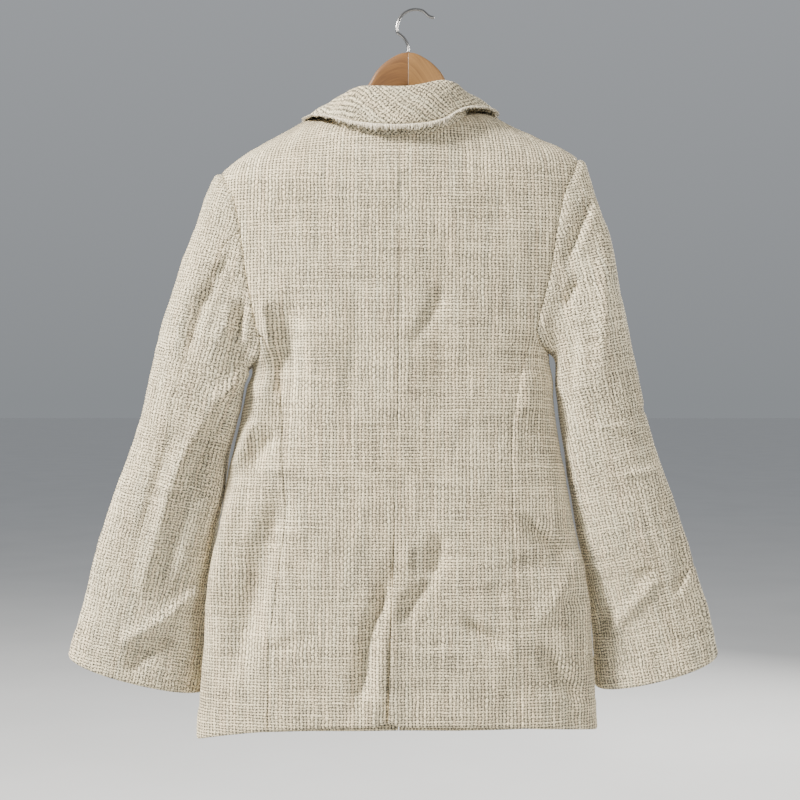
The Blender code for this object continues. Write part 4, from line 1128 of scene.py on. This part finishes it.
def plain_weave():
    """Coarse uneven plain weave. Vector is in metres across and along the warp, the pitches are
    the yarns' spacing in metres. Tone is each yarn's own shade, Cover 0 in the gaps,
    where the finish paints shade."""
    tree, given, result = group_with(
        "plain weave",
        (("Vector", "NodeSocketVector", None), ("Warp Pitch", "NodeSocketFloat", 0.0042),
         ("Weft Pitch", "NodeSocketFloat", 0.0035),
         ("Unevenness", "NodeSocketFloat", 0.5), ("Fuzz", "NodeSocketFloat", 1.2)),
        (("Tone", "NodeSocketFloat"), ("Cover", "NodeSocketFloat"), ("Height", "NodeSocketFloat"),
         ("Hue", "NodeSocketFloat")))
    apart = wired(tree, "ShaderNodeSeparateXYZ", None, Vector=given["Vector"])
    shifted = vector_calc(tree, "ADD", given["Vector"], (3.1, 1.7, 0.0))
    shake = calc(tree, "MULTIPLY_ADD", noise(tree, given["Vector"], 330, 2.0), 0.4, -0.2)

    def yarn_count(axis, pitch, field):
        wobble = calc(tree, "SUBTRACT", noise(tree, field, 55, 3.0), 0.5)
        wobble = calc(tree, "MULTIPLY", wobble, given["Unevenness"])
        wobble = calc(tree, "MULTIPLY_ADD", wobble, 1.6, shake)
        return calc(tree, "ADD", calc(tree, "DIVIDE", apart.outputs[axis], given[pitch]), wobble)

    x = yarn_count("X", "Warp Pitch", given["Vector"])
    y = yarn_count("Y", "Weft Pitch", shifted)
    column, row = calc(tree, "FLOOR", x), calc(tree, "FLOOR", y)
    in_x, in_y = calc(tree, "FRACT", x), calc(tree, "FRACT", y)
    round_x = calc(tree, "SINE", calc(tree, "MULTIPLY", in_x, math.pi))
    round_y = calc(tree, "SINE", calc(tree, "MULTIPLY", in_y, math.pi))
    over = calc(tree, "ABSOLUTE", calc(tree, "MODULO", calc(tree, "ADD", column, row), 2.0))
    sign = calc(tree, "MULTIPLY_ADD", over, 2.0, -1.0)

    def yarn_shade(across, along, seed):
        place = wired(tree, "ShaderNodeCombineXYZ", None, X=calc(tree, "MULTIPLY", across, 7.31),
                      Y=calc(tree, "MULTIPLY_ADD", along, 0.045, seed), Z=seed).outputs[0]
        return noise(tree, place, 1.0, 2.0, 0.6)

    def yarn_height(profile, crossing, shade, base, swing):
        lift = calc(tree, "MULTIPLY_ADD", calc(tree, "MULTIPLY", sign, crossing), swing, base)
        rounded = calc(tree, "MULTIPLY", calc(tree, "POWER", profile, 0.6), lift)
        return calc(tree, "MULTIPLY", rounded, calc(tree, "MULTIPLY_ADD", shade, 0.7, 0.65))

    warp_shade, weft_shade = yarn_shade(column, y, 3.0), yarn_shade(row, x, 11.0)
    lean = calc(tree, "MULTIPLY_ADD", noise(tree, given["Vector"], 14, 2.0), 0.5, -0.25)
    warp = yarn_height(round_x, round_y, warp_shade, calc(tree, "ADD", lean, 0.84), 0.26)
    weft = yarn_height(round_y, round_x, weft_shade, calc(tree, "SUBTRACT", 0.76, lean), -0.26)
    fuzz = calc(tree, "SUBTRACT", noise(tree, given["Vector"], 620, 2.0, 0.7), 0.5)
    fuzz = calc(tree, "MULTIPLY", fuzz, given["Fuzz"])
    height = calc(tree, "ADD", calc(tree, "MAXIMUM", warp, weft), fuzz)
    warp_on_top = calc(tree, "GREATER_THAN", warp, weft)
    slub = calc(tree, "GREATER_THAN", yarn_shade(column, y, 47.0), 0.60)
    warp_tone = calc(tree, "MULTIPLY_ADD", slub, 0.16, warp_shade)
    tone = wired(tree, "ShaderNodeMix", {"data_type": "FLOAT"}, i0=warp_on_top, i2=weft_shade,
                 i3=warp_tone).outputs[0]
    tree.links.new(calc(tree, "MULTIPLY_ADD", fuzz, 0.7, tone), result["Tone"])
    tree.links.new(wired(tree, "ShaderNodeMapRange", {"interpolation_type": "SMOOTHSTEP"}, Value=height,
                         From_Min=0.48, From_Max=0.98).outputs[0], result["Cover"])
    tree.links.new(height, result["Height"])
    tree.links.new(yarn_shade(column, y, 29.0), result["Hue"])
    return tree


def tweed_finish(name, weave, light, dark, painted_gap_shade, uneven=0.5, fuzz=1.2):
    """Wool tweed: yarns between two shades, painted shade in the gaps, soft stains of tone and fine fuzz."""
    finish, tree, shader = new_finish(name, Roughness=0.95, Sheen_Weight=0.12, Sheen_Roughness=0.6,
                                      Specular_IOR_Level=0.15)
    place = wired(tree, "ShaderNodeUVMap", {"uv_map": "weave"}).outputs[0]
    woven = wired(tree, "ShaderNodeGroup", {"node_tree": weave}, Vector=place, Unevenness=uneven,
                  Fuzz=fuzz).outputs
    yarn = ramp(tree, woven["Tone"], ((0.28, dark), (0.74, light)))
    hues = (0.34, (0.92, 0.97, 1.03)), (0.5, (1, 1, 1)), (0.68, (1.05, 0.98, 0.96))
    hue = ramp(tree, woven["Hue"], hues)
    tinted = mix(tree, 0.55, yarn, hue, "MULTIPLY")
    # The gaps between the yarns take painted shade: a darker colour wherever the weave lies low.
    covered = mix(tree, woven["Cover"], (*painted_gap_shade, 1), tinted)
    around = wired(tree, "ShaderNodeTexCoord").outputs["Object"]
    stains = (0.3, (0.93, 0.92, 0.90)), (0.7, (1.05, 1.05, 1.05))
    patches = ramp(tree, noise(tree, around, 9.0, 3.0), stains)
    tree.links.new(mix(tree, 1.0, covered, patches, "MULTIPLY"), shader["Base Color"])
    bump = wired(tree, "ShaderNodeBump", None, Strength=1.0, Distance=WEAVE_RELIEF, Height=woven["Height"])
    tree.links.new(bump.outputs[0], shader["Normal"])
    return finish


def wood_grain():
    """Streaks and pores of wood: Vector in metres, across then along the grain."""
    tree, given, result = group_with(
        "wood grain", (("Vector", "NodeSocketVector", None), ("Slant", "NodeSocketFloat", 0.0)),
        (("Streak", "NodeSocketFloat"), ("Pore", "NodeSocketFloat")))
    apart = wired(tree, "ShaderNodeSeparateXYZ", None, Vector=given["Vector"])
    across = calc(tree, "ADD", apart.outputs["X"], calc(tree, "MULTIPLY", apart.outputs["Y"], given["Slant"]))
    stretched = wired(tree, "ShaderNodeCombineXYZ", None, X=calc(tree, "MULTIPLY", across, 260.0),
                      Y=calc(tree, "MULTIPLY", apart.outputs["Y"], 16.0),
                      Z=calc(tree, "MULTIPLY", apart.outputs["Z"], 30.0)).outputs[0]
    tree.links.new(noise(tree, stretched, 1.0, 4.0, 0.6), result["Streak"])
    fine = vector_calc(tree, "MULTIPLY", stretched, (5.0, 2.5, 2.0))
    tree.links.new(noise(tree, fine, 1.0, 2.0, 0.5), result["Pore"])
    return tree


def wood_finish(name, grain, light, dark, slant):
    finish, tree, shader = new_finish(name, Coat_Weight=0.12, Coat_Roughness=0.3)
    place = wired(tree, "ShaderNodeUVMap", {"uv_map": "grain"}).outputs[0]
    wood = wired(tree, "ShaderNodeGroup", {"node_tree": grain}, Vector=place, Slant=slant).outputs
    streaks = ramp(tree, wood["Streak"], ((0.3, dark), (0.7, light)))
    pores = ramp(tree, wood["Pore"], ((0.34, (0.72, 0.68, 0.62)), (0.46, (1, 1, 1))))
    tree.links.new(mix(tree, 0.8, streaks, pores, "MULTIPLY"), shader["Base Color"])
    rough = wired(tree, "ShaderNodeMapRange", None, Value=wood["Streak"], To_Min=0.5, To_Max=0.34)
    tree.links.new(rough.outputs[0], shader["Roughness"])
    bump = wired(tree, "ShaderNodeBump", None, Strength=0.35, Distance=0.0003, Height=wood["Pore"])
    tree.links.new(bump.outputs[0], shader["Normal"])
    return finish


def wire_finish(name):
    finish, tree, shader = new_finish(name, Metallic=1.0)
    place = wired(tree, "ShaderNodeUVMap", {"uv_map": "grain"}).outputs[0]
    drawn = noise(tree, vector_calc(tree, "MULTIPLY", place, (4000, 120, 1)), 1.0, 3.0)
    colour = ramp(tree, drawn, ((0.3, (0.20, 0.195, 0.19)), (0.7, (0.34, 0.335, 0.33))))
    tree.links.new(colour, shader["Base Color"])
    rough = wired(tree, "ShaderNodeMapRange", None, Value=drawn, To_Min=0.16, To_Max=0.34)
    tree.links.new(rough.outputs[0], shader["Roughness"])
    return finish


# ---------------------------------------------------------------- stage, light and camera
def make_stage():
    finish, tree, shader = new_finish("pale floor", Roughness=0.9)
    speckle = noise(tree, wired(tree, "ShaderNodeTexCoord").outputs["Object"], 3.0, 4.0)
    colour = ramp(tree, speckle, ((0.3, (0.49, 0.50, 0.505)), (0.7, (0.52, 0.53, 0.535))))
    tree.links.new(colour, shader["Base Color"])
    half, low = 60.0, -1.25
    mesh = bpy.data.meshes.new("floor")
    mesh.from_pydata([(-half, -half, low), (half, -half, low), (half, half, low), (-half, half, low)],
                     [], [(0, 1, 2, 3)])
    mesh.materials.append(finish)
    floor = bpy.data.objects.new("floor", mesh)
    bpy.context.scene.collection.objects.link(floor)


def add_light(name, place, size, watts, colour):
    data = bpy.data.lights.new(name, "AREA")
    data.shape = "DISK"
    data.size = size
    data.energy = watts
    data.color = colour
    lamp = bpy.data.objects.new(name, data)
    lamp.location = place
    lamp.rotation_euler = (Vector(LIT_POINT) - Vector(place)).to_track_quat("-Z", "Y").to_euler()
    bpy.context.scene.collection.objects.link(lamp)


def make_light():
    add_light("key", (-2.15, -0.95, 1.0), 0.45, 330, (1.0, 0.955, 0.885))
    add_light("second", (1.7, -1.6, 0.5), 0.8, 52, (1.0, 0.965, 0.91))
    add_light("front", (1.3, 2.1, 0.3), 1.0, 90, (1.0, 0.96, 0.90))
    world = bpy.data.worlds.new("soft daylight")
    world.use_nodes = True
    tree = world.node_tree
    direction = wired(tree, "ShaderNodeTexCoord").outputs["Generated"]
    up = wired(tree, "ShaderNodeSeparateXYZ", None, Vector=direction).outputs["Z"]
    height = calc(tree, "DIVIDE", up, 0.7)
    sky = ramp(tree, height, ((0.0, (0.272, 0.288, 0.305)), (1.0, (0.50, 0.515, 0.54))))
    tree.links.new(sky, tree.nodes["Background"].inputs["Color"])
    bpy.context.scene.world = world


def make_camera():
    data = bpy.data.cameras.new("camera")
    data.sensor_width = 36
    data.lens = 64.287
    camera = bpy.data.objects.new("camera", data)
    camera.location = (-0.0184, -1.70, -0.4629)
    camera.rotation_euler = (math.radians(90), 0, 0)
    bpy.context.scene.collection.objects.link(camera)
    bpy.context.scene.camera = camera


def main():
    weave, grain = plain_weave(), wood_grain()
    # gap, and the third colour of the frayed tweed, are painted shade for the hollows between the yarns.
    cream, shade, gap = (0.85, 0.735, 0.49), (0.50, 0.427, 0.285), (0.066, 0.060, 0.045)
    tweed = tweed_finish("cream tweed", weave, cream, shade, gap)
    brushed = tweed_finish("brushed cream tweed", weave, (0.94, 0.825, 0.56), (0.60, 0.515, 0.35), gap,
                           uneven=1.0, fuzz=2.4)
    frayed = tweed_finish("frayed tweed", weave, (0.95, 0.87, 0.68), (0.80, 0.72, 0.55), (0.50, 0.44, 0.33))
    dark_wood = wood_finish("darker beech", grain, (0.165, 0.078, 0.024), (0.10, 0.043, 0.012), 0.25)
    light_wood = wood_finish("lighter beech", grain, (0.235, 0.124, 0.040), (0.15, 0.074, 0.022), -0.8)
    arms = [make_arm(-1, dark_wood), make_arm(1, light_wood)]
    make_hook(wire_finish("dark chrome"))
    collar, fringe = make_collar(brushed, frayed)
    pieces = make_backs(tweed) + make_fronts(tweed) + make_sides(tweed) + make_sleeves(brushed)
    pieces += make_lapels(brushed) + [make_vent_underlap(tweed), collar]
    make_stage()
    make_light()
    make_camera()


main()
